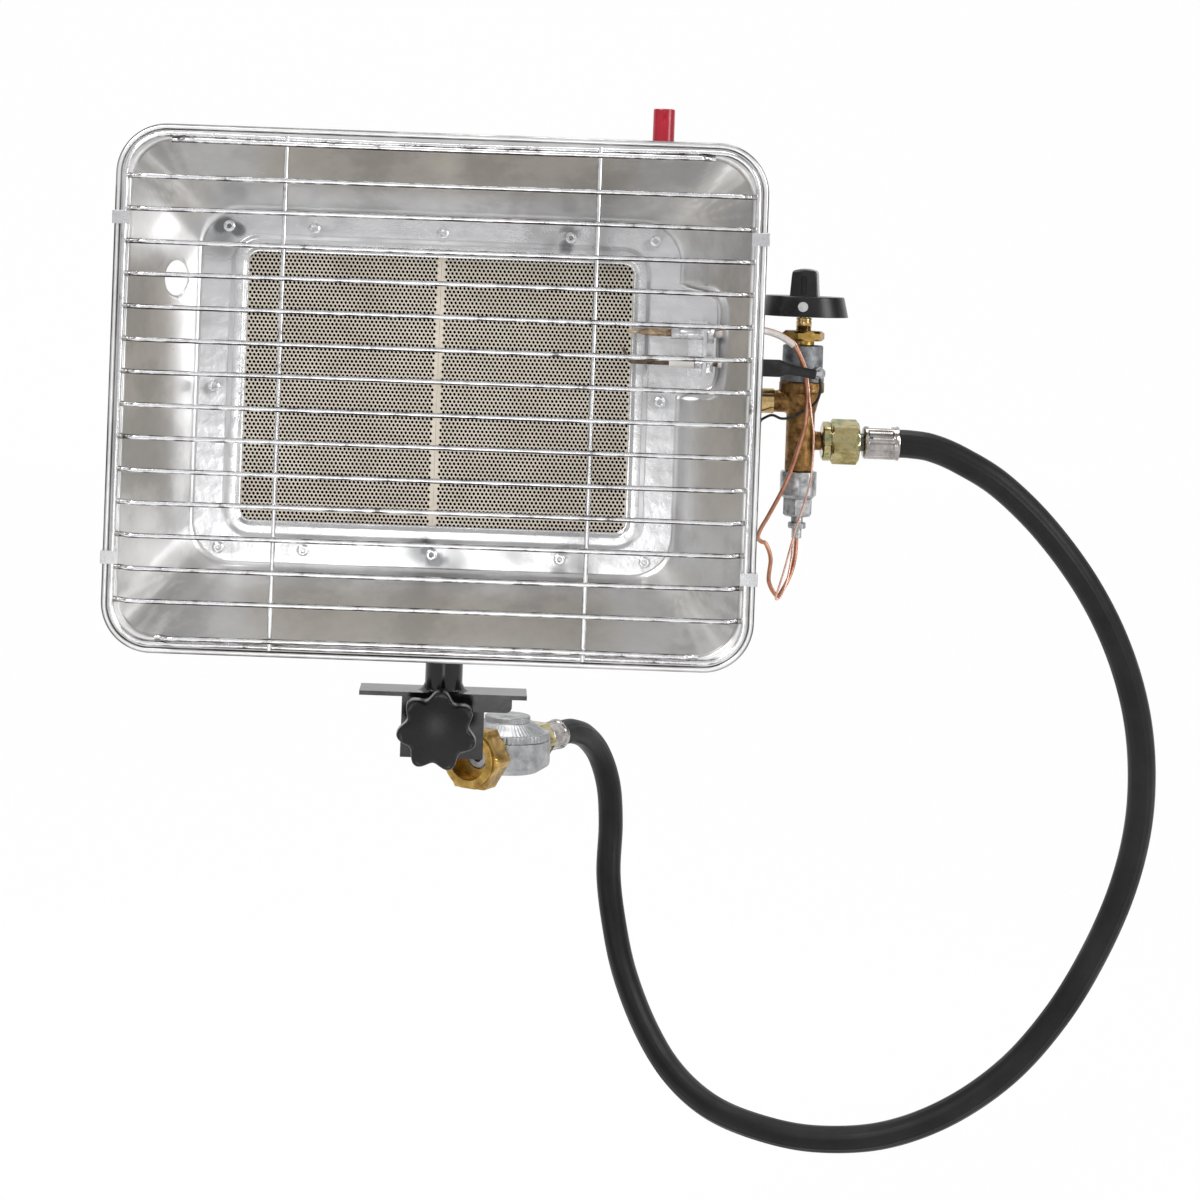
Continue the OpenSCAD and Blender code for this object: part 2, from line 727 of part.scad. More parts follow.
// A cross wire with cranked ends, reach is half its length
module cross_wire(z, reach) {
    steps = 5;
    foot = 2;
    left = [for (k = [0:steps]) crank_point(-reach + foot + crank_run * k / steps, k / steps)];
    right = [for (k = [steps:-1:0]) crank_point(reach - foot - crank_run * k / steps, k / steps)];
    translate([0, 0, z])
        swept(concat([[-reach, ring_y, 0]], left, right, [[reach, ring_y, 0]]), bar_d, 8, [0, 0, 1]);
}

module grille_bars() {
    reach = (ring_w - ring_d) / 2;
    short_reach = ring_w / 2 - ring_r - 2;
    color(chrome_wire) at_head() {
        for (i = [0:bar_count - 1]) cross_wire((i - (bar_count - 1) / 2) * bar_pitch, reach - 0.05);
        cross_wire(top_bar_z, short_reach);
        cross_wire(-bottom_bar_z, short_reach);
    }
}

module grille_stays() {
    color(chrome_wire) at_head() for (s = [-1, 1]) {
        translate([s * stay_gap / 2, stay_y, 0]) cylinder(d = stay_d, h = ring_h + ring_d, center = true);
    }
}

// Small sheet clips folded over the bead and the ring
module grille_clips() {
    clip_t = 0.6;
    reach_in = 7.5;
    clip_w = reach_in + bead_d / 2;
    front = ring_y - ring_d / 2 - clip_t;
    back = lip_front + sheet_t / 2 + bead_d / 2;
    color(bright_steel) at_head() for (s = [-1, 1], z = [-clip_z, clip_z]) {
        translate([s * (rim_w / 2), 0, z]) mirror([s < 0 ? 1 : 0, 0, 0]) {
            translate([-reach_in, front, -clip_len / 2]) cube([reach_in + clip_t + 0.1, clip_t, clip_len]);
            translate([0.1, front, -clip_len / 2]) cube([clip_t, back - front + clip_t, clip_len]);
            translate([-bead_d, back, -clip_len / 2]) cube([bead_d + clip_t + 0.1, clip_t, clip_len]);
        }
    }
}

// ---- Electrodes ----

module electrode_bracket() {
    low = spark_z - 6;
    high = sensor_z + 6;
    color(bright_steel) at_head() difference() {
        union() {
            translate([plate_x, electrode_y - 5, low]) cube([plate_t, electrode_front + 5 - frame_t, high - low]);
            translate([plate_x - 6, -frame_t - plate_t, low]) cube([plate_t + 6, plate_t, high - low]);
        }
        translate([0, electrode_y, sensor_z]) bar_x(sensor_d + 0.2, plate_x - cut, plate_t + 2 * cut);
        translate([0, electrode_y, spark_z]) bar_x(insulator_d + 0.2, plate_x - cut, plate_t + 2 * cut);
    }
}

module igniter_insulator() {
    color([0.93, 0.92, 0.90]) at_head() translate([0, electrode_y, spark_z]) difference() {
        bar_x(insulator_d, insulator_x, spark_end_x - insulator_x - 3);
        bar_x(2.1, insulator_x - cut, spark_end_x - insulator_x);
    }
}

module igniter_rod() {
    color([0.35, 0.28, 0.22]) at_head() translate([0, electrode_y, spark_z]) {
        tip = insulator_x - 21.9;
        swept([[spark_end_x, 0, 0], [tip + 6, 0, 0], [tip + 4, 0, 0.6], [tip + 2.4, 0, 1.9], [tip, 0, 6.6]], 2, 8);
    }
}

module thermocouple_probe() {
    color([0.66, 0.64, 0.60]) at_head() translate([0, electrode_y, sensor_z]) {
        bar_x(sensor_d, probe_x, sensor_end_x - probe_x);
        bar_x(3.3, probe_x - 14.4, 15);
        bar_x(1.6, probe_x - 19.9, 6);
    }
}

// The two nuts behind the electrode bracket
module electrode_nuts() {
    nut_t = 3.4;
    color(bright_steel) at_head() {
        translate([0, electrode_y, sensor_z]) difference() {
            hex_x(9, plate_x + plate_t, nut_t);
            bar_x(sensor_d + 0.1, plate_x, 10);
        }
        translate([0, electrode_y, spark_z]) difference() {
            hex_x(7.6, plate_x + plate_t, nut_t);
            bar_x(insulator_d + 0.1, plate_x, 10);
        }
    }
}

// ---- Valve ----

module valve_body() {
    color(brass) at_valve() difference() {
        union() {
            translate([0, 0, -valve_drop]) cylinder(d = valve_body_d, h = valve_drop + flange_low + 0.1);
            translate([0, 0, -5.5]) cylinder(d1 = valve_body_d, d2 = valve_flange_d - 2.5, h = 10.1);
            translate([0, 0, flange_low]) cylinder(d = valve_flange_d, h = flange_high - flange_low);
            bar_x(10.5, -collar_out - 0.1, collar_out);
            bar_x(collar_d, -collar_in, collar_in - collar_out);
            bar_x(outlet_d, -thread_end, thread_end - collar_in + 0.1);
            translate([0, 0, -inlet_drop]) bar_x(inlet_boss_d, 0, inlet_ring_x);
        }
        bar_x(5, -thread_end - cut, thread_end);
        translate([0, 0, -inlet_drop]) bar_x(4, 2, 12);
        translate([0, 0, flange_high - 5]) cylinder(d = spindle_d + 2 * run_gap + 1, h = 6);
    }
}

module valve_bonnet() {
    color(cast_grey) at_valve() difference() {
        union() {
            translate([0, 0, flange_high]) cylinder(d = bonnet_d, h = bonnet_h);
            translate([0, 0, flange_high]) cylinder(d = bonnet_d + 1.6, h = 4);
        }
        translate([0, 0, flange_high - cut]) cylinder(d = bonnet_bore_d, h = bonnet_bore_top - flange_high + cut);
        translate([0, 0, bonnet_top - 5]) cylinder(d = bushing_d + 2 * run_gap, h = 6);
        rotate([0, 0, -50]) translate([0, 0, 14.3]) bar_x(3.1, bonnet_d / 2 - 2.6, 5);
    }
}

module stem_bushing() {
    color(brass) at_valve() difference() {
        union() {
            translate([0, 0, bonnet_bore_top]) cylinder(d = bushing_d, h = bushing_top - bonnet_bore_top);
            translate([0, 0, bonnet_bore_top - 1.2]) cylinder(d = bonnet_bore_d - 0.6, h = 1.2);
        }
        translate([0, 0, bonnet_bore_top - 3])
            cylinder(d = spindle_d + 2 * run_gap, h = bushing_top - bonnet_bore_top + 6);
    }
}

module panel_nut() {
    color(brass) at_valve() difference() {
        union() {
            translate([0, 0, nut_low]) rotate([0, 0, 41.4]) hex_bar(panel_nut_af, panel_nut_h);
            translate([0, 0, bonnet_top]) cylinder(d = 10.5, h = nut_low - bonnet_top + 0.1);
        }
        translate([0, 0, bonnet_top - cut])
            cylinder(d = bushing_d + 2 * run_gap, h = nut_low + panel_nut_h - bonnet_top + 2 * cut);
    }
}

module push_plate() {
    color(bright_steel) at_valve() difference() {
        translate([0, 0, plate_z]) cylinder(d = plate_d, h = plate_h);
        translate([0, 0, plate_z - cut]) cylinder(d = spindle_d - 0.8, h = plate_h + 2 * cut);
    }
}

// The return spring's sleeve, between the body's flange and the push plate
module spindle_spring() {
    color(bright_steel) at_valve() difference() {
        translate([0, 0, flange_high]) cylinder(d = spring_d, h = plate_z - flange_high);
        translate([0, 0, flange_high - cut]) cylinder(d = spring_bore_d, h = 20);
    }
}

module gas_spindle() {
    color(brass) at_valve() {
        translate([0, 0, plate_z + plate_h]) cylinder(d = spindle_d, h = spindle_top - plate_z - plate_h);
        translate([0, 0, flange_high - 0.2]) cylinder(d = spindle_d - 1, h = plate_z + plate_h - flange_high + 0.3);
    }
}

module gas_knob() {
    skirt_top = knob_low + skirt_h;
    color(black_plastic) at_valve() rotate([0, 0, -pointer_angle]) difference() {
        union() {
            translate([0, 0, knob_low]) cylinder(d1 = knob_d, d2 = knob_top_d, h = skirt_h);
            translate([0, 0, skirt_top - 0.1]) intersection() {
                translate([0, 30, 0]) rotate([90, 0, 0]) linear_extrude(60) {
                    translate([-grip_w / 2, 0]) square([grip_w, grip_h - 4]);
                    translate([-grip_w / 2 + 4, 0]) square([grip_w - 8, grip_h]);
                    for (s = [-1, 1]) translate([s * (grip_w / 2 - 4), grip_h - 4]) circle(4);
                }
                cylinder(d = knob_top_d - 1, h = grip_h + 1);
            }
        }
        difference() {
            translate([0, 0, knob_low - cut])
                cylinder(d1 = knob_d - 2 * knob_wall + 0.7, d2 = knob_top_d - 2 * knob_wall + 0.7,
                    h = skirt_h - knob_wall + cut);
            translate([0, 0, hub_low]) cylinder(d = hub_d, h = skirt_h);
        }
        translate([0, 0, knob_low - cut]) cylinder(d = spindle_d + 2 * run_gap, h = spindle_top - knob_low + cut + 0.1);
        translate([-1.2, -knob_top_d, skirt_top + 1]) cube([2.4, knob_top_d / 2 + 2.5, 8.6]);
        knob_dot_solid(0.05, 1);
    }
}

// The pointer dot's solid, square to the skirt's slope
module knob_dot_solid(gap, over) {
    slope = atan((knob_d - knob_top_d) / 2 / skirt_h);
    mid_r = (knob_d + knob_top_d) / 4;
    translate([0, -mid_r, knob_low + skirt_h / 2]) rotate([90 - slope, 0, 0])
        translate([0, 0, -0.8]) cylinder(d = dot_d + 2 * gap, h = 0.85 + over);
}

module knob_dot() {
    color([0.62, 0.62, 0.62]) at_valve() rotate([0, 0, -pointer_angle]) knob_dot_solid(0, 0);
}

module magnet_housing() {
    color(cast_grey) at_valve() {
        translate([0, 0, magnet_low + 1.5]) cylinder(d = magnet_d, h = magnet_h - 1.5);
        translate([0, 0, magnet_low]) cylinder(d1 = magnet_d - 3, d2 = magnet_d, h = 1.5);
    }
}

// The magnet's hexagon with the lead's stepped end piece under it
module magnet_nut() {
    color(cast_grey) at_valve() {
        translate([0, 0, magnet_nut_low]) rotate([0, 0, 45]) hex_bar(magnet_nut_af, magnet_nut_h);
        translate([0, 0, magnet_nut_low - 2.9]) cylinder(d = 5.7, h = 3);
        translate([0, 0, magnet_nut_low - 5.7]) cylinder(d = 8.6, h = 2.8);
        translate([0, 0, terminal_low]) cylinder(d = 4.8, h = 5);
    }
}

module inlet_ring() {
    color(zinc_yellow) at_valve() translate([0, 0, -inlet_drop]) difference() {
        rotate([-nut_spin, 0, 0]) hex_x(inlet_ring_d - 0.6, inlet_ring_x, inlet_ring_t);
        bar_x(4, inlet_ring_x - cut, inlet_ring_t + 2 * cut);
    }
}

module inlet_nut() {
    color(zinc_yellow) at_valve() translate([0, 0, -inlet_drop]) difference() {
        union() {
            rotate([-nut_spin, 0, 0]) hex_x(hose_nut_af, inlet_nut_x, hose_nut_len);
            bar_x(10, inlet_ring_x + inlet_ring_t, 1);
        }
        bar_x(4, inlet_nut_x - 2, hose_nut_len + 4);
    }
}

// A crimped sleeve along X, with flutes and a flared mouth, and the nipple in front of it
module crimp_sleeve(x) {
    flutes = 8;
    difference() {
        union() {
            bar_x(ferrule_d, x, ferrule_len);
            bar_x(ferrule_d + 0.7, x + ferrule_len - 1.2, 1.2);
            bar_x(nipple_d, x - nipple_len, nipple_len + 0.1);
        }
        for (k = [0:flutes - 1]) {
            rotate([360 * (k + 0.5) / flutes, 0, 0]) translate([0, 0, ferrule_d / 2 + 0.9])
                bar_x(3.4, x + 2.5, ferrule_len - 6);
        }
    }
}

module hose_ferrule() {
    color(bright_steel) at_valve() translate([0, 0, -inlet_drop]) crimp_sleeve(ferrule_x);
}

// ---- Leads ----

module lead_sleeve() {
    color([0.88, 0.85, 0.83]) at_valve() swept(smooth(sleeve_route, 3), 3.2, 8);
}

module thermocouple_lead() {
    color(copper) at_valve() swept(smooth(lead_route, 3), 2, 8);
}

module sensor_wire() {
    color(copper) at_valve() swept(smooth(wire_route, 3), 1, 6);
}

// The insulated crimp sleeve of the earth lead: a wide end and a narrow end
module earth_sleeve() {
    y = -16.2;
    z = 16.4;
    color(black_plastic) at_valve() translate([0, y, z]) {
        bar_x(8.3, -38, 26);
        translate([-12, 0, 0]) rotate([0, 90, 0]) cylinder(d1 = 8.3, d2 = 4.9, h = 4.2);
        translate([-10, 0, 0.3]) rotate([0, 100, 3]) cylinder(d = 4.5, h = 14.6);
    }
}

module earth_terminal() {
    color([0.75, 0.75, 0.76]) at_valve() {
        rotate([0, 0, -50]) translate([0, 0, 14.3]) difference() {
            bar_x(6.2, bonnet_d / 2 + 0.9, 0.8);
            bar_x(3.2, bonnet_d / 2 - cut, 5);
        }
        translate([6.4, -13.2, 14.3]) cube([3, 3.4, 2], center = true);
    }
}

module earth_screw() {
    color([0.82, 0.82, 0.83]) at_valve() rotate([0, 0, -50]) translate([0, 0, 14.3]) {
        bar_x(3, bonnet_d / 2 - 2.4, 4.4);
        bar_x(4.8, bonnet_d / 2 + 1.75, 1.5);
    }
}

module earth_wire() {
    color(black_plastic) at_valve() swept(smooth(earth_route, 3), 1.3, 8);
}

// ---- Igniter ----

module piezo_body() {
    color([0.08, 0.08, 0.08]) at_head() translate([piezo_reach, piezo_y, 0]) difference() {
        union() {
            translate([0, 0, piezo_bottom]) cylinder(d = piezo_d, h = piezo_len);
            translate([0, 0, shelf_z + shelf_t]) cylinder(d = piezo_d + 4, h = 2.5);
        }
        translate([0, 0, button_low - button_travel - 1])
            cylinder(d = button_d + 2 * run_gap, h = button_seat + button_travel + 1 + cut);
    }
}

module piezo_button() {
    color([0.75, 0.05, 0.10]) at_head() translate([piezo_reach, piezo_y, button_low]) difference() {
        union() {
            cylinder(d = button_d, h = button_seat + button_h - 1);
            translate([0, 0, button_seat + button_h - 1]) cylinder(d1 = button_d, d2 = button_d - 1, h = 1);
        }
        translate([-0.5, -button_d / 2 - 0.2, button_seat + button_h - 5.5]) cube([1, 0.6, 3]);
    }
}

// Bent strip from the mixing box up to a shelf that holds the igniter
module piezo_bracket() {
    top = box_h / 2;
    riser_y = piezo_y + 10;
    shelf_w = 22;
    foot_w = 29;
    foot_x = box_w / 2 - foot_w - 1.5;
    foot_y = box_back - 26;
    color(satin_steel) at_head() difference() {
        union() {
            translate([foot_x, foot_y, top]) cube([foot_w, riser_y - foot_y + shelf_t, shelf_t]);
            translate([foot_x, riser_y, top])
                cube([piezo_reach + shelf_w / 2 - foot_x, shelf_t, shelf_z + shelf_t - top]);
            translate([piezo_reach - shelf_w / 2, piezo_y - 9, shelf_z])
                cube([shelf_w, riser_y - piezo_y + 9 + shelf_t, shelf_t]);
        }
        translate([piezo_reach, piezo_y, shelf_z - cut]) cylinder(d = piezo_d + 0.2, h = shelf_t + 2 * cut);
    }
}

module ignition_lead() {
    color([0.85, 0.84, 0.82]) at_head() swept(smooth(spark_route, 3), 3, 8, [0, 1, 0.2]);
}

// ---- Tilt joint ----

module tilt_bracket() {
    top = head_z - box_h / 2;
    strap_t = 2;
    strap_w = 60;
    cheek_x = eye_w / 2 + pass_gap;
    color(satin_steel) difference() {
        union() {
            translate([-strap_w / 2, -11, top - strap_t]) cube([strap_w, 20, strap_t]);
            for (s = [-1, 1]) {
                translate([s * (cheek_x + cheek_t / 2), 0, 0]) {
                    translate([-cheek_t / 2, -cheek_r, tilt_z])
                        cube([cheek_t, 2 * cheek_r, top - strap_t - tilt_z + 0.1]);
                    translate([0, 0, tilt_z]) bar_x(2 * cheek_r, -cheek_t / 2, cheek_t);
                }
            }
        }
        translate([0, 0, tilt_z]) bar_x(tilt_bolt_d + 2 * run_gap, -20, 40);
        for (x = [-22, 22], y = [-5, 5]) translate([x, y, top - strap_t - cut]) cylinder(d = 5.2, h = 5);
    }
}

module bracket_screws() {
    low = head_z - box_h / 2 - 2;
    color([0.75, 0.75, 0.76]) for (x = [-22, 22], y = [-5, 5]) translate([x, y, low]) {
        translate([0, 0, -3]) cylinder(d = 9, h = 3);
        cylinder(d = 5, h = 9);
    }
}

module post() {
    shoulder = tilt_z - 11;
    color(black_paint) difference() {
        union() {
            translate([0, 0, clamp_t]) cylinder(d = post_d, h = shoulder - clamp_t);
            translate([-eye_w / 2, -post_d / 2 + 0.7, shoulder - 8]) cube([eye_w, post_d - 1.4, tilt_z - shoulder + 8]);
            translate([0, 0, tilt_z]) bar_x(post_d - 1.4, -eye_w / 2, eye_w);
            for (s = [-1, 1]) {
                translate([0, 2.5, clamp_t]) rotate([90, 0, 0]) linear_extrude(5)
                    polygon([[s * (post_d / 2 - 1), 0], [s * (post_d / 2 + 3.4), 0], [s * (post_d / 2 - 1), 3.8]]);
            }
        }
        translate([0, 0, clamp_t - cut]) cylinder(d = post_d - 3, h = shoulder - clamp_t - 9);
        translate([0, 0, tilt_z]) bar_x(tilt_bolt_d + 2 * run_gap, -20, 40);
    }
}

module tilt_bolt() {
    outer = eye_w / 2 + pass_gap + cheek_t + 0.2;
    color([0.70, 0.70, 0.72]) translate([0, 0, tilt_z]) {
        bar_x(tilt_bolt_d, -outer, outer + 22);
        hex_x(13, -outer - 5.3, 5.35);
    }
}

module wing_nut() {
    x = eye_w / 2 + pass_gap + cheek_t + pass_gap;
    color([0.70, 0.70, 0.72]) translate([x, 0, tilt_z]) difference() {
        union() {
            bar_x(13, 0, 8);
            for (s = [-1, 1]) {
                translate([2, -1.5, s > 0 ? 4 : -11]) cube([8, 3, 7]);
                translate([6, 1.5, s * 8.5]) rotate([90, 0, 0]) cylinder(d = 8, h = 3);
            }
        }
        bar_x(tilt_bolt_d + 2 * run_gap, -cut, 20);
    }
}

// ---- Clamp ----

module clamp_plate() {
    depth = seat_half + jaw_t;
    color(black_paint) {
        translate([-clamp_w / 2, -depth, land_t]) cube([clamp_w, 2 * depth, clamp_t - land_t]);
        translate([-clamp_w / 2, -seat_half + land_t, 0]) cube([clamp_w, 2 * (seat_half - land_t), clamp_t]);
        translate([-20, seat_half, -rear_jaw_h]) cube([40, jaw_t, rear_jaw_h + clamp_t]);
    }
}

module front_jaw() {
    lug_right = 14.5;
    lug_left = 10;
    lug_low = screw_drop + 12.5;
    strip_left = -14;
    strip_right = 33;
    strip_h = 6;
    corner_r = 3;
    lug_r = 5;
    color(black_paint) difference() {
        upright(-seat_half - jaw_t, jaw_t) {
            translate([strip_left, -strip_h + corner_r])
                square([strip_right - strip_left, strip_h - corner_r + land_t]);
            translate([strip_left, -strip_h]) square([strip_right - strip_left - corner_r, strip_h]);
            translate([strip_right - corner_r, -strip_h + corner_r]) circle(corner_r);
            translate([screw_x - lug_left, -lug_low + lug_r]) square([lug_left + lug_right, lug_low - lug_r]);
            translate([screw_x - lug_left + lug_r, -lug_low]) square([lug_left + lug_right - 2 * lug_r, lug_low]);
            translate([screw_x - lug_left + lug_r, -lug_low + lug_r]) circle(lug_r);
            translate([screw_x + lug_right - lug_r, -lug_low + lug_r]) circle(lug_r);
        }
        translate([screw_x, -seat_half + cut, -screw_drop])
            rotate([90, 0, 0]) cylinder(d = screw_d + 0.2, h = jaw_t + 2 * cut);
    }
}

// Outline of the star knob: a circle whose radius rises and falls once per lobe
module star_outline() {
    steps = 12 * star_lobes;
    mean = (star_d / 2 + star_valley) / 2;
    wave = star_hollow / 2;
    polygon([for (k = [0:steps - 1])
        let (a = 360 * k / steps) (mean + wave * cos(star_lobes * (a - 85))) * [cos(a), sin(a)]]);
}

module star_knob() {
    dome_r = 62;
    back = screw_front - star_hub_t;
    color(black_plastic) translate([screw_x, 0, -screw_drop]) difference() {
        union() {
            intersection() {
                translate([0, back, 0]) rotate([90, 0, 0]) linear_extrude(star_t) star_outline();
                translate([0, back - star_t + dome_r, 0]) sphere(dome_r, $fn = 96);
            }
            translate([0, screw_front, 0]) rotate([90, 0, 0]) cylinder(d = star_hub_d, h = star_hub_t + 0.1);
        }
        translate([0, screw_front + cut, 0]) rotate([90, 0, 0]) cylinder(d = screw_d, h = star_hub_t + 4 + cut);
    }
}

module clamp_screw() {
    color([0.62, 0.62, 0.64]) translate([screw_x, 0, -screw_drop]) {
        translate([0, pad_front, 0]) rotate([90, 0, 0])
            cylinder(d = screw_d, h = pad_front - screw_front + star_hub_t + 4);
        translate([0, pad_front + pad_bore_depth - 0.2, 0]) rotate([90, 0, 0]) cylinder(d = tip_d, h = 3);
    }
}

module swivel_pad() {
    color([0.50, 0.50, 0.52]) translate([screw_x, pad_front, -screw_drop]) rotate([-90, 0, 0]) difference() {
        cylinder(d = pad_d, h = pad_t);
        translate([0, 0, -cut]) cylinder(d = tip_d + 2 * run_gap, h = pad_bore_depth + cut);
    }
}

// ---- Hose and regulator ----

module gas_hose() {
    color([0.06, 0.06, 0.065]) swept(smooth(hose_route, 2), hose_d, 12);
}

// Nut and crimped sleeve at the regulator's end of the hose
module hose_end() {
    color(zinc_yellow) at_regulator() difference() {
        union() {
            hex_x(hose_nut_af, far_nut_x, hose_nut_len);
            crimp_sleeve(far_ferrule_x);
        }
        bar_x(4, far_nut_x - cut, 8);
    }
}

module regulator_body() {
    color([0.55, 0.56, 0.57]) at_regulator() difference() {
        union() {
            translate([regulator_x, 0, regulator_low + 4]) cylinder(d = regulator_d, h = regulator_mid - regulator_low - 4);
            translate([regulator_x, 0, regulator_low])
                cylinder(d1 = regulator_d - 12, d2 = regulator_d, h = 4.01);
            bar_x(union_neck_d, union_depth, regulator_x - union_depth - 10);
            bar_x(union_bore_d - 1, union_depth + 0.2, 1.4);
            bar_x(union_neck_d, regulator_x + 10, outlet_x - regulator_x - 10);
        }
        bar_x(5, union_depth - cut, 14);
        bar_x(4, outlet_x - 8, 9);
    }
}

module regulator_cap() {
    color([0.60, 0.61, 0.62]) at_regulator() translate([regulator_x, 0, regulator_mid]) {
        cylinder(d = cap_d, h = 4);
        translate([0, 0, 3.9]) cylinder(d1 = cap_d - 6, d2 = 26, h = cap_h - 6.9);
        translate([0, 0, cap_h - 3.1]) cylinder(d = 24, h = 3.1);
    }
}

// The hand nut that fastens the regulator, turning on its neck
module regulator_nut() {
    color(brass) at_regulator() difference() {
        union() {
            hex_x(union_af, 2, union_len - 2);
            bar_x(union_af - 1, 0, 2.1);
        }
        bar_x(union_bore_d, -cut, union_depth + cut);
        bar_x(union_bore_d + 1, union_depth, 1.8);
        bar_x(union_neck_d + 4 * run_gap, union_depth, 10);
    }
}

reflector();
burner_frame();
frame_rivets();
plaque_left();
plaque_right();
plaque_gasket();
burner_housing();
gas_spreader();
venturi_tube();
injector();
valve_bracket();
grille_ring();
grille_bars();
grille_stays();
grille_clips();
electrode_bracket();
igniter_insulator();
igniter_rod();
thermocouple_probe();
electrode_nuts();
valve_body();
valve_bonnet();
stem_bushing();
panel_nut();
push_plate();
spindle_spring();
gas_spindle();
gas_knob();
knob_dot();
magnet_housing();
magnet_nut();
inlet_ring();
inlet_nut();
hose_ferrule();
thermocouple_lead();
lead_sleeve();
sensor_wire();
earth_sleeve();
earth_terminal();
earth_screw();
earth_wire();
piezo_body();
piezo_button();
piezo_bracket();
ignition_lead();
tilt_bracket();
bracket_screws();
post();
clamp_plate();
front_jaw();
tilt_bolt();
wing_nut();
star_knob();
clamp_screw();
swivel_pad();
gas_hose();
hose_end();
regulator_body();
regulator_cap();
regulator_nut();
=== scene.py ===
# Portable infrared gas heater: the looks of each piece, dressed over the fixed model.
# Lengths are in millimetres, and become metres as each mesh is made.
import math

import bpy
import numpy as np
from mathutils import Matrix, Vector


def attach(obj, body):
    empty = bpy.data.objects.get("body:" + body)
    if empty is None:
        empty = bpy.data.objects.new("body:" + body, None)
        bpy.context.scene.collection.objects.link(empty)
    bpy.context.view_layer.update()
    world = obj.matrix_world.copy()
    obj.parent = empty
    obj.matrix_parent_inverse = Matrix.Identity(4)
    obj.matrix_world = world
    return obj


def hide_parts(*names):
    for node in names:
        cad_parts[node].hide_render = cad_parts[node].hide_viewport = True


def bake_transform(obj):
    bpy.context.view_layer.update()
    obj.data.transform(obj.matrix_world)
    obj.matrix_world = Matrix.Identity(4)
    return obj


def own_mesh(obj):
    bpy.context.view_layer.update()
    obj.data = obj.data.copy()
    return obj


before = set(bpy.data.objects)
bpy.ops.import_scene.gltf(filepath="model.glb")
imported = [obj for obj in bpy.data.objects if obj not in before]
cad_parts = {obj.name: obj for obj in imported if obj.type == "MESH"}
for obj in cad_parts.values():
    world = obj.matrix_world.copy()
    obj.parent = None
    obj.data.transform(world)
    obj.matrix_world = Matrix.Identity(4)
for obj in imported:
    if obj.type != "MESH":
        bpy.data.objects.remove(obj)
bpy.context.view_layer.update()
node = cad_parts

# ---- Stage and camera ----
# A pale curved sweep under and behind the heater and a studio of soft boxes, which the bright metal mirrors.
# The camera stands at the photo's place, with the photo's lens and shift.


def lay_grid(p, close_i=False, close_j=False, first=0):
    """Quads between neighbours of a grid of points p[i, j]; closed round i or j, numbered from first."""
    rows, columns = p.shape[:2]
    number = first + np.arange(rows * columns).reshape(rows, columns)
    if close_i:
        number = np.vstack([number, number[:1]])
    if close_j:
        number = np.hstack([number, number[:, :1]])
    return np.stack([number[:-1, :-1], number[:-1, 1:], number[1:, 1:], number[1:, :-1]], -1).reshape(-1, 4)


def volume_in(p, faces):
    """Signed volume of a fan of triangles from each face's first corner: the sum of their corner products."""
    corner = p[faces]
    return sum(np.einsum("ij,ij->i", corner[:, 0], np.cross(corner[:, k], corner[:, k + 1])).sum()
               for k in range(1, faces.shape[1] - 1))


def make_mesh(name, grids, crease=32):
    """One mesh from several grids. A grid is (points, close_i, close_j, caps, material number): caps names the end
    rings, "a" for the first and "b" for the last, that are closed by a flat face. A closed grid is turned so that
    its faces look outwards. Edges sharper than crease degrees stay sharp."""
    points, faces, look, first = [], [], [], 0
    for p, close_i, close_j, ends, *number in grids:
        rows, columns = p.shape[:2]
        flat = np.ascontiguousarray(p.reshape(-1, 3))
        ring = np.arange(columns)
        parts = [lay_grid(p, close_i, close_j)]
        if "a" in ends:
            parts.append(ring[::-1][None])
        if "b" in ends:
            parts.append((rows - 1) * columns + ring[None])
        closed = close_j and (close_i or ends == "ab")
        if closed and sum(volume_in(flat - flat[0], part) for part in parts) < 0:
            parts = [part[:, ::-1] for part in parts]
        points.append(flat)
        faces += [part + first for part in parts]
        look += [np.full(len(part), number[0] if number else 0) for part in parts]
        first += rows * columns
    points, look = np.vstack(points) / 1000.0, np.concatenate(look)
    loops = np.concatenate([part.ravel() for part in faces]).astype(np.int32)
    sizes = np.concatenate([np.full(len(part), part.shape[1]) for part in faces]).astype(np.int32)
    mesh = bpy.data.meshes.new(name)
    mesh.vertices.add(len(points))
    mesh.vertices.foreach_set("co", points.astype(np.float32).ravel())
    mesh.loops.add(len(loops))
    mesh.loops.foreach_set("vertex_index", loops)
    mesh.polygons.add(len(sizes))
    mesh.polygons.foreach_set("loop_start", np.concatenate([[0], np.cumsum(sizes)[:-1]]).astype(np.int32))
    mesh.update(calc_edges=True)
    mesh.polygons.foreach_set("use_smooth", np.ones(len(sizes), bool))
    mesh.polygons.foreach_set("material_index", look.astype(np.int32))
    mesh.set_sharp_from_angle(angle=math.radians(crease))
    mesh.update()
    return mesh


def solid(grid, look=0):
    """A grid along a path or axis with a flat face at both ends, as make_mesh takes it."""
    return grid, False, True, "ab", look


def hollow(grid, look=0):
    """A grid whose profile runs back to its start, as make_mesh takes it."""
    return grid, True, True, "", look


def piece(name, grids, body, material, replaces=(), crease=32):
    """A finished piece at the origin, riding on its body and standing for its nodes."""
    made = bpy.data.objects.new(name, make_mesh(name, grids, crease))
    bpy.context.scene.collection.objects.link(made)
    for look in [material] if isinstance(material, bpy.types.Material) else material:
        made.data.materials.append(look)
    if body:
        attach(made, body)
    for covered in [replaces] if isinstance(replaces, str) else replaces:
        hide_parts(covered)
    return made


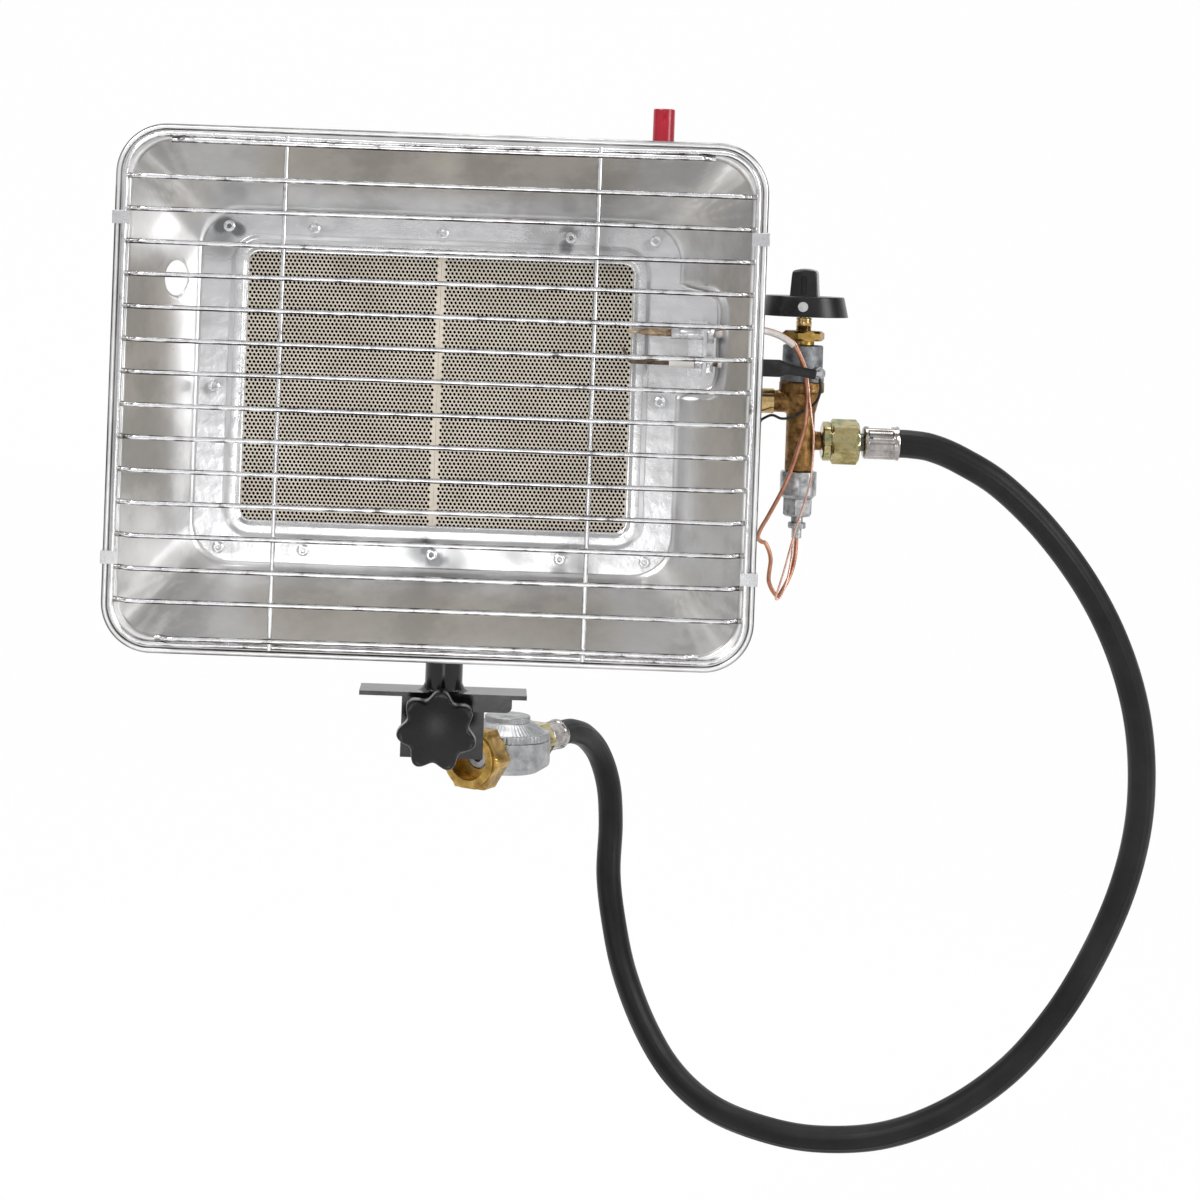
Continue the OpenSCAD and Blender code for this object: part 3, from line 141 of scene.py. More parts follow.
def calc(tree, operation, *values):
    """A Math node's output; each value is a number or the socket that is linked in."""
    made = tree.nodes.new("ShaderNodeMath")
    made.operation = operation
    for socket, value in zip(made.inputs, values):
        if isinstance(value, (int, float)):
            socket.default_value = value
        else:
            tree.links.new(value, socket)
    return made.outputs[0]


def add_stops(tree, stops, tint=(1, 1, 1.01)):
    """Grey stops (place, level) in the tree's colour ramp, with each channel's level times tint."""
    for at, level in stops:
        tree.nodes["Color Ramp"].color_ramp.elements.new(at).color = (*(level * t for t in tint), 1)


sweep_line = np.array([[-3000, -330], [-1500, -330], [300, -330], [900, -320], [1400, -250], [1750, -60],
                       [1900, 250], [1940, 800], [1950, 1600], [1950, 3200]], float)
sweep_x = np.linspace(-3200, 3200, 9)
sweep_grid = np.stack([np.broadcast_to(sweep_x[None, :], (10, 9)), np.broadcast_to(sweep_line[:, :1], (10, 9)),
                       np.broadcast_to(sweep_line[:, 1:], (10, 9))], -1)
sweep = bpy.data.objects.new("sweep", make_mesh("sweep", [(sweep_grid, False, False, "")]))
bpy.context.scene.collection.objects.link(sweep)
pale = bpy.data.materials.new("pale_sweep")
pale.use_nodes = True
tree = pale.node_tree
paper = tree.nodes["Principled BSDF"]
paper.inputs["Base Color"].default_value = (0.86, 0.86, 0.86, 1)
paper.inputs["Roughness"].default_value = 0.9
# Seen directly, in metal or through glass, the sweep is white by its own glow; on the heater it is plain paper.
rays = tree.nodes.new("ShaderNodeLightPath").outputs
seen = calc(tree, "MAXIMUM", rays["Is Camera Ray"], rays["Is Glossy Ray"])
seen = calc(tree, "MAXIMUM", seen, rays["Is Transmission Ray"])
glow = tree.nodes.new("ShaderNodeEmission")
glow.inputs["Strength"].default_value = 1.0
mixed = tree.nodes.new("ShaderNodeMixShader")
tree.links.new(calc(tree, "MULTIPLY", seen, 0.95), mixed.inputs[0])
tree.links.new(paper.outputs[0], mixed.inputs[1])
tree.links.new(glow.outputs[0], mixed.inputs[2])
tree.links.new(mixed.outputs[0], tree.nodes["Material Output"].inputs["Surface"])
sweep.data.materials.append(pale)

# The studio's walls and ceiling: grey levels over the angle about X, from below through behind to above.
world = bpy.data.worlds.new("studio")
bpy.context.scene.world = world
world.use_nodes = True
tree = world.node_tree
way = tree.nodes.new("ShaderNodeSeparateXYZ")
tree.links.new(tree.nodes.new("ShaderNodeTexCoord").outputs["Generated"], way.inputs[0])
angle = calc(tree, "ARCTAN2", way.outputs["Z"], calc(tree, "MULTIPLY", way.outputs["Y"], -1.0))
tint = tree.nodes.new("ShaderNodeValToRGB")
stops = tint.color_ramp.elements
stops[0].position, stops[0].color = 0.0, (0.85, 0.85, 0.86, 1)
stops[1].position, stops[1].color = 1.0, (0.85, 0.85, 0.86, 1)
add_stops(tree, ((0.25, 0.10), (0.42, 0.14), (0.475, 0.62), (0.50, 0.86), (0.56, 1.0), (0.65, 1.05), (0.70, 0.34),
                 (0.76, 0.16), (0.84, 0.30), (0.93, 0.72)))
tree.links.new(calc(tree, "MULTIPLY_ADD", angle, 1 / (2 * math.pi), 0.5), tint.inputs[0])
tree.links.new(tint.outputs[0], tree.nodes["Background"].inputs["Color"])
tree.nodes["Background"].inputs["Strength"].default_value = 0.74

for name, place, aim, size, power in (
        ("key_box", (-900, -1100, 1300), (0, 0, 100), (900, 700), 20),
        ("side_box", (1300, -700, 500), (0, 0, 80), (500, 900), 9),
        ("top_box", (0, 200, 1500), (0, 0, 100), (1400, 700), 16),
        ("front_box", (-40, -1480, -110), (0, 0, 80), (300, 300), 1.1)):
    lamp = bpy.data.lights.new(name, "AREA")
    lamp.shape, lamp.size, lamp.size_y = "RECTANGLE", size[0] / 1000, size[1] / 1000
    lamp.energy = power
    holder = bpy.data.objects.new(name, lamp)
    bpy.context.scene.collection.objects.link(holder)
    holder.location = Vector(place) / 1000
    holder.rotation_euler = (Vector(aim) - Vector(place)).to_track_quat("-Z", "Y").to_euler()

eye = bpy.data.cameras.new("camera")
eye.lens, eye.sensor_width = 82.7625, 36
eye.shift_x, eye.shift_y = 110 / 1200, -367 / 1200
eye.clip_start, eye.clip_end = 0.01, 50
camera = bpy.data.objects.new("camera", eye)
bpy.context.scene.collection.objects.link(camera)
camera.location = (0.0145, -1.325, 0.2223)
camera.rotation_euler = (math.radians(90), math.radians(-2.05), 0)
bpy.context.scene.camera = camera
bpy.context.scene.view_settings.view_transform = "Standard"


# ---- Gas hose ----
# Black rubber hose with fine mould lines along it, extruded.
# It is crimped into a steel sleeve at each end: one at the valve, one at the regulator.


def smooth_route(points, steps):
    """Catmull-Rom curve: each stretch is the cubic through its two points whose slope at a point is half the
    vector between its neighbours."""
    p = np.asarray(points, float)
    a = np.vstack([p[:1], p[:-2]])
    b, c = p[:-1], p[1:]
    d = np.vstack([p[2:], p[-1:]])
    t = (np.arange(steps) / steps)[None, :, None]
    a, b, c, d = a[:, None], b[:, None], c[:, None], d[:, None]
    curve = 0.5 * (2 * b + (c - a) * t + (2 * a - 5 * b + 4 * c - d) * t**2 + (3 * b - a - 3 * c + d) * t**3)
    return np.vstack([curve.reshape(-1, 3), p[-1:]])


def along(path):
    """Unit direction at each point of a path: the chord between its neighbours."""
    chord = np.empty_like(path)
    chord[1:-1] = path[2:] - path[:-2]
    chord[0], chord[-1] = path[1] - path[0], path[-1] - path[-2]
    return chord / np.linalg.norm(chord, axis=1, keepdims=True)


def tube(path, radius, sides=16, start=(0, 1, 0), section=None):
    """A grid round a path. Each ring stands square to it, on side vectors that turn as little as they can from
    ring to ring. radius is one number or one per ring; section multiplies it round the ring."""
    path = np.asarray(path, float)
    heading = along(path)
    side = np.empty_like(path)
    last = np.asarray(start, float)
    for i, h in enumerate(heading):
        last = last - last.dot(h) * h
        last = last / np.linalg.norm(last)
        side[i] = last
    other = np.cross(heading, side)
    turn = 2 * np.pi * np.arange(sides) / sides
    r = np.broadcast_to(np.asarray(radius, float).reshape(-1, 1), (len(path), sides)).copy()
    if section is not None:
        r = r * section
    return path[:, None] + r[:, :, None] * (np.cos(turn)[None, :, None] * side[:, None]
                                            + np.sin(turn)[None, :, None] * other[:, None])


def finish(name, dark, light, metallic=0.0, rough=(0.3, 0.45), patch=40.0, stretch=(1, 1, 1), grain=1500.0,
           bump=0.02, contrast=(0.35, 0.65), grain_stretch=None, **sockets):
    """A material whose colour runs from dark to light over cloudy patches (patch per metre), whose roughness runs
    the other way, and whose surface a finer grain lifts by bump millimetres. Stretch scales the axes."""
    material = bpy.data.materials.new(name)
    material.use_nodes = True
    tree, join = material.node_tree.nodes, material.node_tree.links.new
    shader = tree["Principled BSDF"]
    where = tree.new("ShaderNodeTexCoord")
    spread = tree.new("ShaderNodeMapping")
    spread.inputs["Scale"].default_value = stretch
    cloud = tree.new("ShaderNodeTexNoise")
    cloud.inputs["Scale"].default_value = patch
    cloud.inputs["Detail"].default_value = 6
    cloud.inputs["Roughness"].default_value = 0.62
    tint = tree.new("ShaderNodeValToRGB")
    tint.color_ramp.elements[0].position, tint.color_ramp.elements[1].position = contrast
    tint.color_ramp.elements[0].color = (*dark, 1)
    tint.color_ramp.elements[1].color = (*light, 1)
    gloss = tree.new("ShaderNodeMapRange")
    gloss.inputs["From Min"].default_value, gloss.inputs["From Max"].default_value = 0.3, 0.7
    gloss.inputs["To Min"].default_value, gloss.inputs["To Max"].default_value = rough[1], rough[0]
    spread_fine = tree.new("ShaderNodeMapping")
    spread_fine.inputs["Scale"].default_value = grain_stretch or stretch
    fine = tree.new("ShaderNodeTexNoise")
    fine.inputs["Scale"].default_value = grain
    fine.inputs["Detail"].default_value = 3
    lift = tree.new("ShaderNodeBump")
    lift.inputs["Strength"].default_value = 1.0
    lift.inputs["Distance"].default_value = bump / 1000
    join(where.outputs["Object"], spread.inputs[0])
    join(where.outputs["Object"], spread_fine.inputs[0])
    join(spread.outputs[0], cloud.inputs["Vector"])
    join(cloud.outputs["Fac"], tint.inputs[0])
    join(tint.outputs[0], shader.inputs["Base Color"])
    join(cloud.outputs["Fac"], gloss.inputs["Value"])
    join(gloss.outputs[0], shader.inputs["Roughness"])
    join(spread_fine.outputs[0], fine.inputs["Vector"])
    join(fine.outputs["Fac"], lift.inputs["Height"])
    join(lift.outputs[0], shader.inputs["Normal"])
    shader.inputs["Metallic"].default_value = metallic
    for socket, value in sockets.items():
        shader.inputs[socket.replace("_", " ")].default_value = value
    return material


def paint_by(material, name, amount):
    """Moves the material's colour along its ramp by amount times the piece's own attribute of that name."""
    tree, join = material.node_tree.nodes, material.node_tree.links.new
    mark = tree.new("ShaderNodeAttribute")
    mark.attribute_name = name
    join(calc(material.node_tree, "MULTIPLY_ADD", mark.outputs["Fac"], amount, tree["Noise Texture"].outputs["Fac"]),
         tree["Color Ramp"].inputs[0])


def give(made, name, values):
    """Stores one number per point of the piece's mesh."""
    made.data.attributes.new(name, "FLOAT", "POINT").data.foreach_set(
        "value", np.asarray(values, np.float32).ravel())


def dress(names, material):
    """Gives CAD nodes whose shape is right their material."""
    for name in [names] if isinstance(names, str) else names:
        node[name].data.materials.clear()
        node[name].data.materials.append(material)


hose_d = 13.6
hose_start, hose_end = (214.0, -2, 128.3), (61.15, 182.86, -50)
hose_route = [
    hose_start,
    (219.5, -2, 128.2), (230, -2, 126.8), (244, -2, 121.4), (264, -1, 109.8), (287, 3, 89), (309, 9, 62),
    (326, 16, 33), (338, 24, 2), (344, 31, -29), (345, 39, -61), (340, 47, -94), (329, 55, -128), (313, 62, -161),
    (291, 68, -191), (263, 75, -215), (232, 84, -231), (200, 96, -238), (173, 111, -238.5), (148, 132, -235),
    (129, 156, -225), (115, 181, -208.5), (104, 206, -186), (98, 224, -163), (94.5, 236, -138), (95, 241.5, -111),
    (92.8, 237.6, -88.1), (86.4, 226.7, -68.6), (77.9, 211.8, -56.2), (69.8, 197.8, -50.9), (64.5, 188.7, -50),
    hose_end]
hose_path = smooth_route(hose_route, 12)
hose_turn = 2 * np.pi * np.arange(64) / 64
hose_section = 0.985 + 0.008 * np.cos(hose_turn * 16) + 0.02 * np.exp(-((np.abs(np.sin(hose_turn)) / 0.05) ** 2))
hose_black = finish("hose_black", (0.006, 0.006, 0.007), (0.013, 0.013, 0.014), rough=(0.36, 0.52), patch=30,
                    grain=2600, bump=0.02, Specular_IOR_Level=0.2)
hose = piece("hose", [solid(tube(hose_path, hose_d / 2, 64, section=hose_section))], None,
             hose_black, "gas_hose")
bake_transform(hose)

# ---- Reflector ----
# Satin stainless dish pressed from one sheet: rolled bead, lip, slanted walls, flat base and electrode pocket,
# with a round hole in the left wall for lighting. Everything on the head is measured from head_at.
head_at = np.array([-7.7, -27.0, 146.7])
corner_steps, straight_steps, pocket_steps = 20, 60, 230


def rounded_outline(half_w, half_h, r, right_steps=pocket_steps):
    """Points (x, z) round a rectangle with round corners: four quarter circles joined by straight sides. It starts
    at the lower end of the right side and runs anticlockwise as seen from the front."""
    quarter = np.linspace(0, np.pi / 2, corner_steps + 1)
    out = []
    for k, steps in enumerate((right_steps, straight_steps, straight_steps, straight_steps)):
        cx, cz = ((1, 1), (-1, 1), (-1, -1), (1, -1))[k]
        mid = np.array([cx * (half_w - r), cz * (half_h - r)])
        back = np.array(((1, -1), (1, 1), (-1, 1), (-1, -1))[k]) * [half_w - r, half_h - r]
        a = quarter + k * np.pi / 2
        arc = mid + r * np.stack([np.cos(a), np.sin(a)], 1)
        first = back + r * np.array([math.cos(k * math.pi / 2), math.sin(k * math.pi / 2)])
        run = first + (arc[0] - first) * (np.arange(steps) / steps)[:, None]
        out += [run, arc[:-1]]
    return np.vstack(out)


def round_corners(points, radii, steps=6):
    """An open line in a plane with its corners cut by arcs of the given radii."""
    p = np.asarray(points, float)
    out = [p[:1]]
    for i in range(1, len(p) - 1):
        a, b = p[i - 1] - p[i], p[i + 1] - p[i]
        la, lb = np.linalg.norm(a), np.linalg.norm(b)
        r = radii if np.isscalar(radii) else radii[i - 1]
        if r <= 0:
            out.append(p[i:i + 1])
            continue
        a, b = a / la, b / lb
        turn = math.acos(max(-1, min(1, float(a @ b))))
        cut = min(r / math.tan(turn / 2), 0.49 * la, 0.49 * lb)
        r = cut * math.tan(turn / 2)
        middle = p[i] + (a + b) / np.linalg.norm(a + b) * r / math.sin(turn / 2)
        s, e = p[i] + a * cut - middle, p[i] + b * cut - middle
        sweep_angle = math.pi - turn
        t = np.linspace(0, 1, steps + 1)[:, None]
        out.append(middle + (np.sin((1 - t) * sweep_angle) * s + np.sin(t * sweep_angle) * e) / math.sin(sweep_angle))
    out.append(p[-1:])
    return np.vstack(out)


def ease(t):
    """An S-shaped step from 0 to 1: three squares minus two cubes of t held between 0 and 1."""
    t = np.clip(t, 0, 1)
    return t * t * (3 - 2 * t)


def pocket_share(z, top, bottom, soft):
    """1 inside the pocket's height, 0 outside, with an S-shaped step soft wide at both ends."""
    return ease((z - bottom) / soft + 0.5) * ease((top - z) / soft + 0.5)


# Each row of the dish is (half width, half height, corner radius, depth).
bead_angles = np.radians(np.linspace(250, 18, 15))
dish_rows = [(146.5 - 1.5 * math.cos(a), 118.5 - 1.5 * math.cos(a), 21.5 - 1.5 * math.cos(a),
              -48.5 - 1.5 * math.sin(a)) for a in bead_angles]
lip_profile = round_corners([(145.0, -49.0), (141.0, -49.0), (140.4, -47.0), (113.5, 0.0), (96.0, 0.0)],
                            [1.2, 2.5, 4.0], 6)
t_wall = np.linspace(0, 1, 26)[1:-1]
break_at = np.argmax(np.diff(lip_profile[:, 1])) + 1
lip_profile = np.vstack([lip_profile[:break_at], lip_profile[break_at - 1] + t_wall[:, None]
                         * (lip_profile[break_at] - lip_profile[break_at - 1]), lip_profile[break_at:]])


def dish_row(x, y):
    """Half sizes and corner radius of the dish where its half width is x."""
    if x > 141:
        return x, x - 28, 19.5 + (x - 141) / 2, y
    if x > 113.5:
        share = (141 - x) / 27.5
        return x, 113 - 29 * share, 19.5 + 0.5 * share, y
    share = (113.5 - x) / 17.5
    return x, 84 - 14 * share, 20 - 14 * share, y


dish_rows += [dish_row(x, y) for x, y in lip_profile]
dish = np.stack([np.column_stack([o[:, 0], np.full(len(o), y), o[:, 1]])
                 for w, h, r, y in dish_rows for o in [rounded_outline(w, h, r)]])
# The pocket pushes the right wall out to an upright wall at 132, between heights 3.3 and 53.3.
wall_rows = (dish[:, 5, 1] > -46.9) & (dish[:, 5, 0] < 140.7)
for j in np.where(wall_rows)[0]:
    row = dish[j]
    right = row[:, 0] > 100
    w, depth = dish_rows[j][0], dish_rows[j][3]
    grow = -depth / 38.0 * 3.0
    inside = pocket_share(row[:, 2], 53.3 + grow, 3.3 - grow, 5.0) * right
    off = np.clip(np.abs(row[:, 2] - 28.3) - 13 - grow, 0, 12)
    reach = 132.0 - (12 - np.sqrt(np.maximum(144 - off**2, 0))) * 0.8
    share = np.clip((w - 96.0) / 17.5, 0, 1)
    flat_x = 96 + (reach - 96) * share
    rise = np.clip((w - 113.5) / (133.0 - 113.5), 0, 1)
    push_x = np.where(w <= 113.5, flat_x, reach + 0.8 * rise)
    push_x = np.maximum(push_x, row[:, 0])
    dish[j, :, 0] = row[:, 0] + inside * (push_x - row[:, 0])
# The lighting hole: rows and columns inside it are pulled to its edge, and the faces inside are left out.
hole_r, hole_y, hole_z = 8.35, -15.5, 49.6
away = np.stack([dish[..., 1] - hole_y, dish[..., 2] - hole_z], -1)
far = np.linalg.norm(away, axis=-1)
inner = (far < hole_r) & (dish[..., 0] < -100)
dish_faces = lay_grid(dish, False, True)
drop = inner.reshape(-1)[dish_faces].all(1)
scale_up = np.where(inner, hole_r / np.maximum(far, 1e-6), 1.0)
slope = 26.9 / 47
new_y, new_z = hole_y + away[..., 0] * scale_up, hole_z + away[..., 1] * scale_up
dish[..., 0] = np.where(inner, dish[..., 0] + slope * (new_y - dish[..., 1]), dish[..., 0])
dish[..., 1], dish[..., 2] = np.where(inner, new_y, dish[..., 1]), np.where(inner, new_z, dish[..., 2])
satin = finish("satin_steel", (0.10, 0.098, 0.096), (0.90, 0.898, 0.895), 1.0, (0.27, 0.40), 16,
               contrast=(0.10, 0.70), grain=900, bump=0.006, grain_stretch=(14, 14, 0.6))
add_stops(satin.node_tree, ((0.26, 0.50), (0.36, 0.59), (0.44, 0.63), (0.52, 0.77)), (1, 0.993, 0.985))
# Painted shade and sheen on the dish: a point attribute moves its colour along the ramp.
paint_by(satin, "painted_shade_and_sheen", 1.0)
dish_mesh = bpy.data.meshes.new("reflector_dish")
dish_mesh.from_pydata(((dish + head_at) / 1000).reshape(-1, 3), [], dish_faces[~drop].tolist())
dish_mesh.polygons.foreach_set("use_smooth", np.ones(len(dish_mesh.polygons), bool))
dish_mesh.set_sharp_from_angle(angle=math.radians(40))
reflector = bpy.data.objects.new("reflector_dish", dish_mesh)
bpy.context.scene.collection.objects.link(reflector)
reflector.data.materials.append(satin)
sheet = reflector.modifiers.new("sheet", "SOLIDIFY")
sheet.thickness, sheet.offset = 0.0009, -1.0
# Painted light on the dish: painted dark lines and painted bright bands along the bead's crown and in its groove
# stand for its reflections, pale painted sheen in streaks fans out to the corners on a slightly darkened ground, and
# faint wavy bands run across the walls.
bead_painted_light = np.zeros(len(dish_rows))
bead_painted_light[5:16] = (-0.34, -0.36, -0.36, -0.2, 0.12, 0.14, 0.06, -0.34, -0.1, 0.05, -0.1)
corner_x, corner_z = np.abs(dish[..., 0]) - 113.5, np.abs(dish[..., 2]) - 84
fan = np.arctan2(corner_z, corner_x)
on_wall = (dish[..., 1] < -1) & (dish[..., 1] > -48)
corner_painted_sheen = (0.5 + 0.5 * np.cos(fan * 22 + np.sign(dish[..., 0]) + 2 * np.sign(dish[..., 2]))) ** 3
near = np.clip(1 - np.abs(fan - 0.8) / 1.1, 0, 1) * on_wall
bands = 0.05 * np.sin(dish[..., 0] * 0.11 + dish[..., 2] * 0.02) * on_wall
painted_light_marks = bead_painted_light[:, None] + 0.16 * corner_painted_sheen * near - 0.05 * near + bands
give(reflector, "painted_shade_and_sheen", painted_light_marks)
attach(reflector, "head")
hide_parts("reflector")


# ---- Burner frame ----
# Bright aluminised sheet over the dish's base, with a pressed ridge round the window and a tongue into the
# electrode pocket. It is riveted to the dish and to the box behind.
frame_profile = round_corners([(112.5, -0.02), (112.5, -1.0), (98.6, -1.0), (96.6, -2.5), (92.8, -2.5), (91.4, -1.2),
                               (90.5, -1.2), (90.5, 0.25)], [0.35, 1.2, 1.2, 1.0, 0.5, 0.4], 5)
fill_in = np.linspace(111.9, 99.5, 14)
cut_at = np.argmax(frame_profile[:, 0] < 100.5)
frame_profile = np.vstack([frame_profile[:cut_at], np.column_stack([fill_in, np.full(14, -1.0)]),
                           frame_profile[cut_at:]])


def frame_row(w, y):
    """Outline of the frame where its half width is w, with the tongue on the right."""
    h = w - 27.5 if w < 98.5 else 71 + (w - 98.5) * 12 / 14
    r = 5 + (w - 90.5) if w < 98.5 else 13 + (w - 98.5) * 6 / 14
    o = rounded_outline(w, h, r)
    share = np.clip((w - 101.0) / 11.5, 0, 1)
    inside = pocket_share(o[:, 1], 51.6, 5.0, 7.0) * (o[:, 0] > 90) * share
    off = np.clip(np.abs(o[:, 1] - 28.3) - 14, 0, 11)
    reach = 130.8 - (11 - np.sqrt(np.maximum(121 - off**2, 0))) * 0.8
    return np.column_stack([o[:, 0] + inside * np.maximum(reach - o[:, 0], 0), np.full(len(o), y), o[:, 1]])


frame_grid = np.stack([frame_row(w, y) for w, y in frame_profile]) + head_at
aluminised = finish("aluminised_sheet", (0.18, 0.185, 0.19), (0.77, 0.77, 0.78), 1.0, (0.17, 0.30), 20,
                    contrast=(0.22, 0.56), grain=140, bump=0.12)
aluminised.node_tree.nodes["Noise Texture"].inputs["Detail"].default_value = 2.5
add_stops(aluminised.node_tree, ((0.31, 0.32), (0.38, 0.54), (0.46, 0.68)))
burner_sheet = piece("burner_frame_sheet", [(frame_grid, False, True, "")], "head", aluminised,
                     "burner_frame", 50)

# ---- Frame rivets ----
# Twelve tubular steel rivets through the frame, the dish and the box's flange.
# Each shows a rolled ring with a dark bore, and smudges the sheet round it.


def turned(profile, sides=32, axis="y", at=(0, 0, 0), section=None):
    """A grid turned round an axis from a profile of (radius, place along the axis). Section multiplies the
    radius round the axis."""
    p = np.asarray(profile, float)
    turn = 2 * np.pi * np.arange(sides) / sides
    r = np.repeat(p[:, :1], sides, 1) * (1 if section is None else section)
    a, b = r * np.cos(turn), r * np.sin(turn)
    h = np.repeat(p[:, 1:2], sides, 1)
    order = {"x": (h, a, b), "y": (b, h, a), "z": (a, b, h)}[axis]
    return np.stack(order, -1) + np.asarray(at, float)


rivet_profile = round_corners([(1.9, 0.1), (1.9, -1.05), (2.8, -1.15), (2.8, -1.7), (2.0, -2.2), (1.15, -2.2),
                               (0.95, -1.6), (0.95, 1.5)], [0.2, 0.25, 0.5, 0.45, 0.3, 0.2], 4)
rivet_at = [(x, s * 75.6 - 1.0) for x in (-100.3, -60.4, 0, 60.4, 100.3) for s in (-1, 1)]
rivet_at += [(-104.9, -1), (104.9, -1)]
# The sheet is dimpled and dull round each rivet: two lobes whose reach swings with the angle round it.
smudge = np.zeros(frame_grid.shape[:2])
for k, (x, z) in enumerate(rivet_at):
    off_x, off_z = frame_grid[..., 0] - head_at[0] - x, frame_grid[..., 2] - head_at[2] - z
    bearing = np.arctan2(off_z, off_x)
    reach = 4.6 + 2.6 * np.cos(2 * bearing + 0.5 * k) + 1.3 * np.cos(3 * bearing + 1.7 * k)
    inside = np.clip((reach - np.hypot(off_x, off_z)) / 2.2 + 0.5, 0, 1)
    smudge = np.maximum(smudge, inside * (0.55 + 0.45 * math.sin(2.1 * k)))
give(burner_sheet, "smudge", smudge)
paint_by(aluminised, "smudge", -0.2)
rivet_steel = finish("rivet_steel", (0.55, 0.55, 0.56), (0.92, 0.92, 0.93), 1.0, (0.15, 0.3), 300, bump=0.01)
rivet_grids = [solid(turned(rivet_profile, 28, "y", head_at + [x, 0, z])) for x, z in rivet_at]
piece("tubular_rivets", rivet_grids, "head", rivet_steel, "frame_rivets")

# ---- Ceramic plaques ----
# Two cordierite plaques, pressed and fired, side by side behind the frame's window.
# Each is pierced by about three thousand fine holes in a hexagonal pattern, whose walls and floors are painted
# near-black as shade.
hole_pitch, row_pitch, hole_radius, hole_depth = 1.96, 1.72, 0.73, 4.0
plaque_front, plaque_back = 0.3, 13.3
field_columns, field_rows = 45, 74


def pierced_face(left, bottom, width, height, inner_gap):
    """One plaque: brick-laid cells, each a rectangle with a middle point on its long sides, joined to an
    eight-sided hole; a plain border joins the field of cells to the plaque's edge. Returns points and faces."""
    n = field_columns * field_rows
    col, row = np.meshgrid(np.arange(field_columns), np.arange(field_rows), indexing="xy")
    field_w, field_h = (field_columns + 0.5) * hole_pitch, field_rows * row_pitch
    x0, z0 = left + inner_gap, bottom + (height - field_h) / 2
    cx = x0 + (col + 0.5 + 0.5 * (row % 2)) * hole_pitch
    cz = z0 + (row + 0.5) * row_pitch
    cx, cz = cx.ravel(), cz.ravel()
    hx, hz = hole_pitch / 2, row_pitch / 2
    edge = np.array([(-hx, -hz), (0, -hz), (hx, -hz), (hx, hz), (0, hz), (-hx, hz)])
    turn = 2 * np.pi * (np.arange(8) + 0.5) / 8 - np.pi / 2
    ring = hole_radius * np.stack([np.cos(turn), np.sin(turn)], 1)
    flat = np.concatenate([edge, ring, ring, ring * 0.9])
    depth = np.concatenate([np.full(14, plaque_front), np.full(8, plaque_front + 0.25),
                            np.full(8, plaque_front + hole_depth)])
    points = np.empty((n, 30, 3))
    points[:, :, 0] = cx[:, None] + flat[None, :, 0]
    points[:, :, 2] = cz[:, None] + flat[None, :, 1]
    points[:, :, 1] = depth[None]
    r = 6 + np.arange(8)
    cell = np.array([(0, 1, r[0]), (0, r[0], r[7]), (1, 2, r[1]), (1, r[1], r[0]), (2, r[2], r[1]), (2, 3, r[3]),
                     (2, r[3], r[2]), (3, 4, r[4]), (3, r[4], r[3]), (4, 5, r[5]), (4, r[5], r[4]),
                     (5, r[6], r[5]), (5, 0, r[7]), (5, r[7], r[6])])
    walls = []
    for k in range(8):
        m = (k + 1) % 8
        walls += [(r[k], r[m], r[m] + 8), (r[k], r[m] + 8, r[k] + 8), (r[k] + 8, r[m] + 8, r[m] + 16),
                  (r[k] + 8, r[m] + 16, r[k] + 16)]
    floor = [(22, 22 + k, 23 + k) for k in range(1, 7)]
    faces = np.concatenate([cell, np.array(walls), np.array(floor)])
    # Hole walls and floors take material 1: near-black painted shade inside the bores.
    dark = np.concatenate([np.zeros(len(cell)), np.ones(len(walls) + len(floor))])
    all_faces = (faces[None] + 30 * np.arange(n)[:, None, None]).reshape(-1, 3)
    dark = np.tile(dark, n)
    return points.reshape(-1, 3), all_faces, dark, (x0, z0, field_w, field_h)


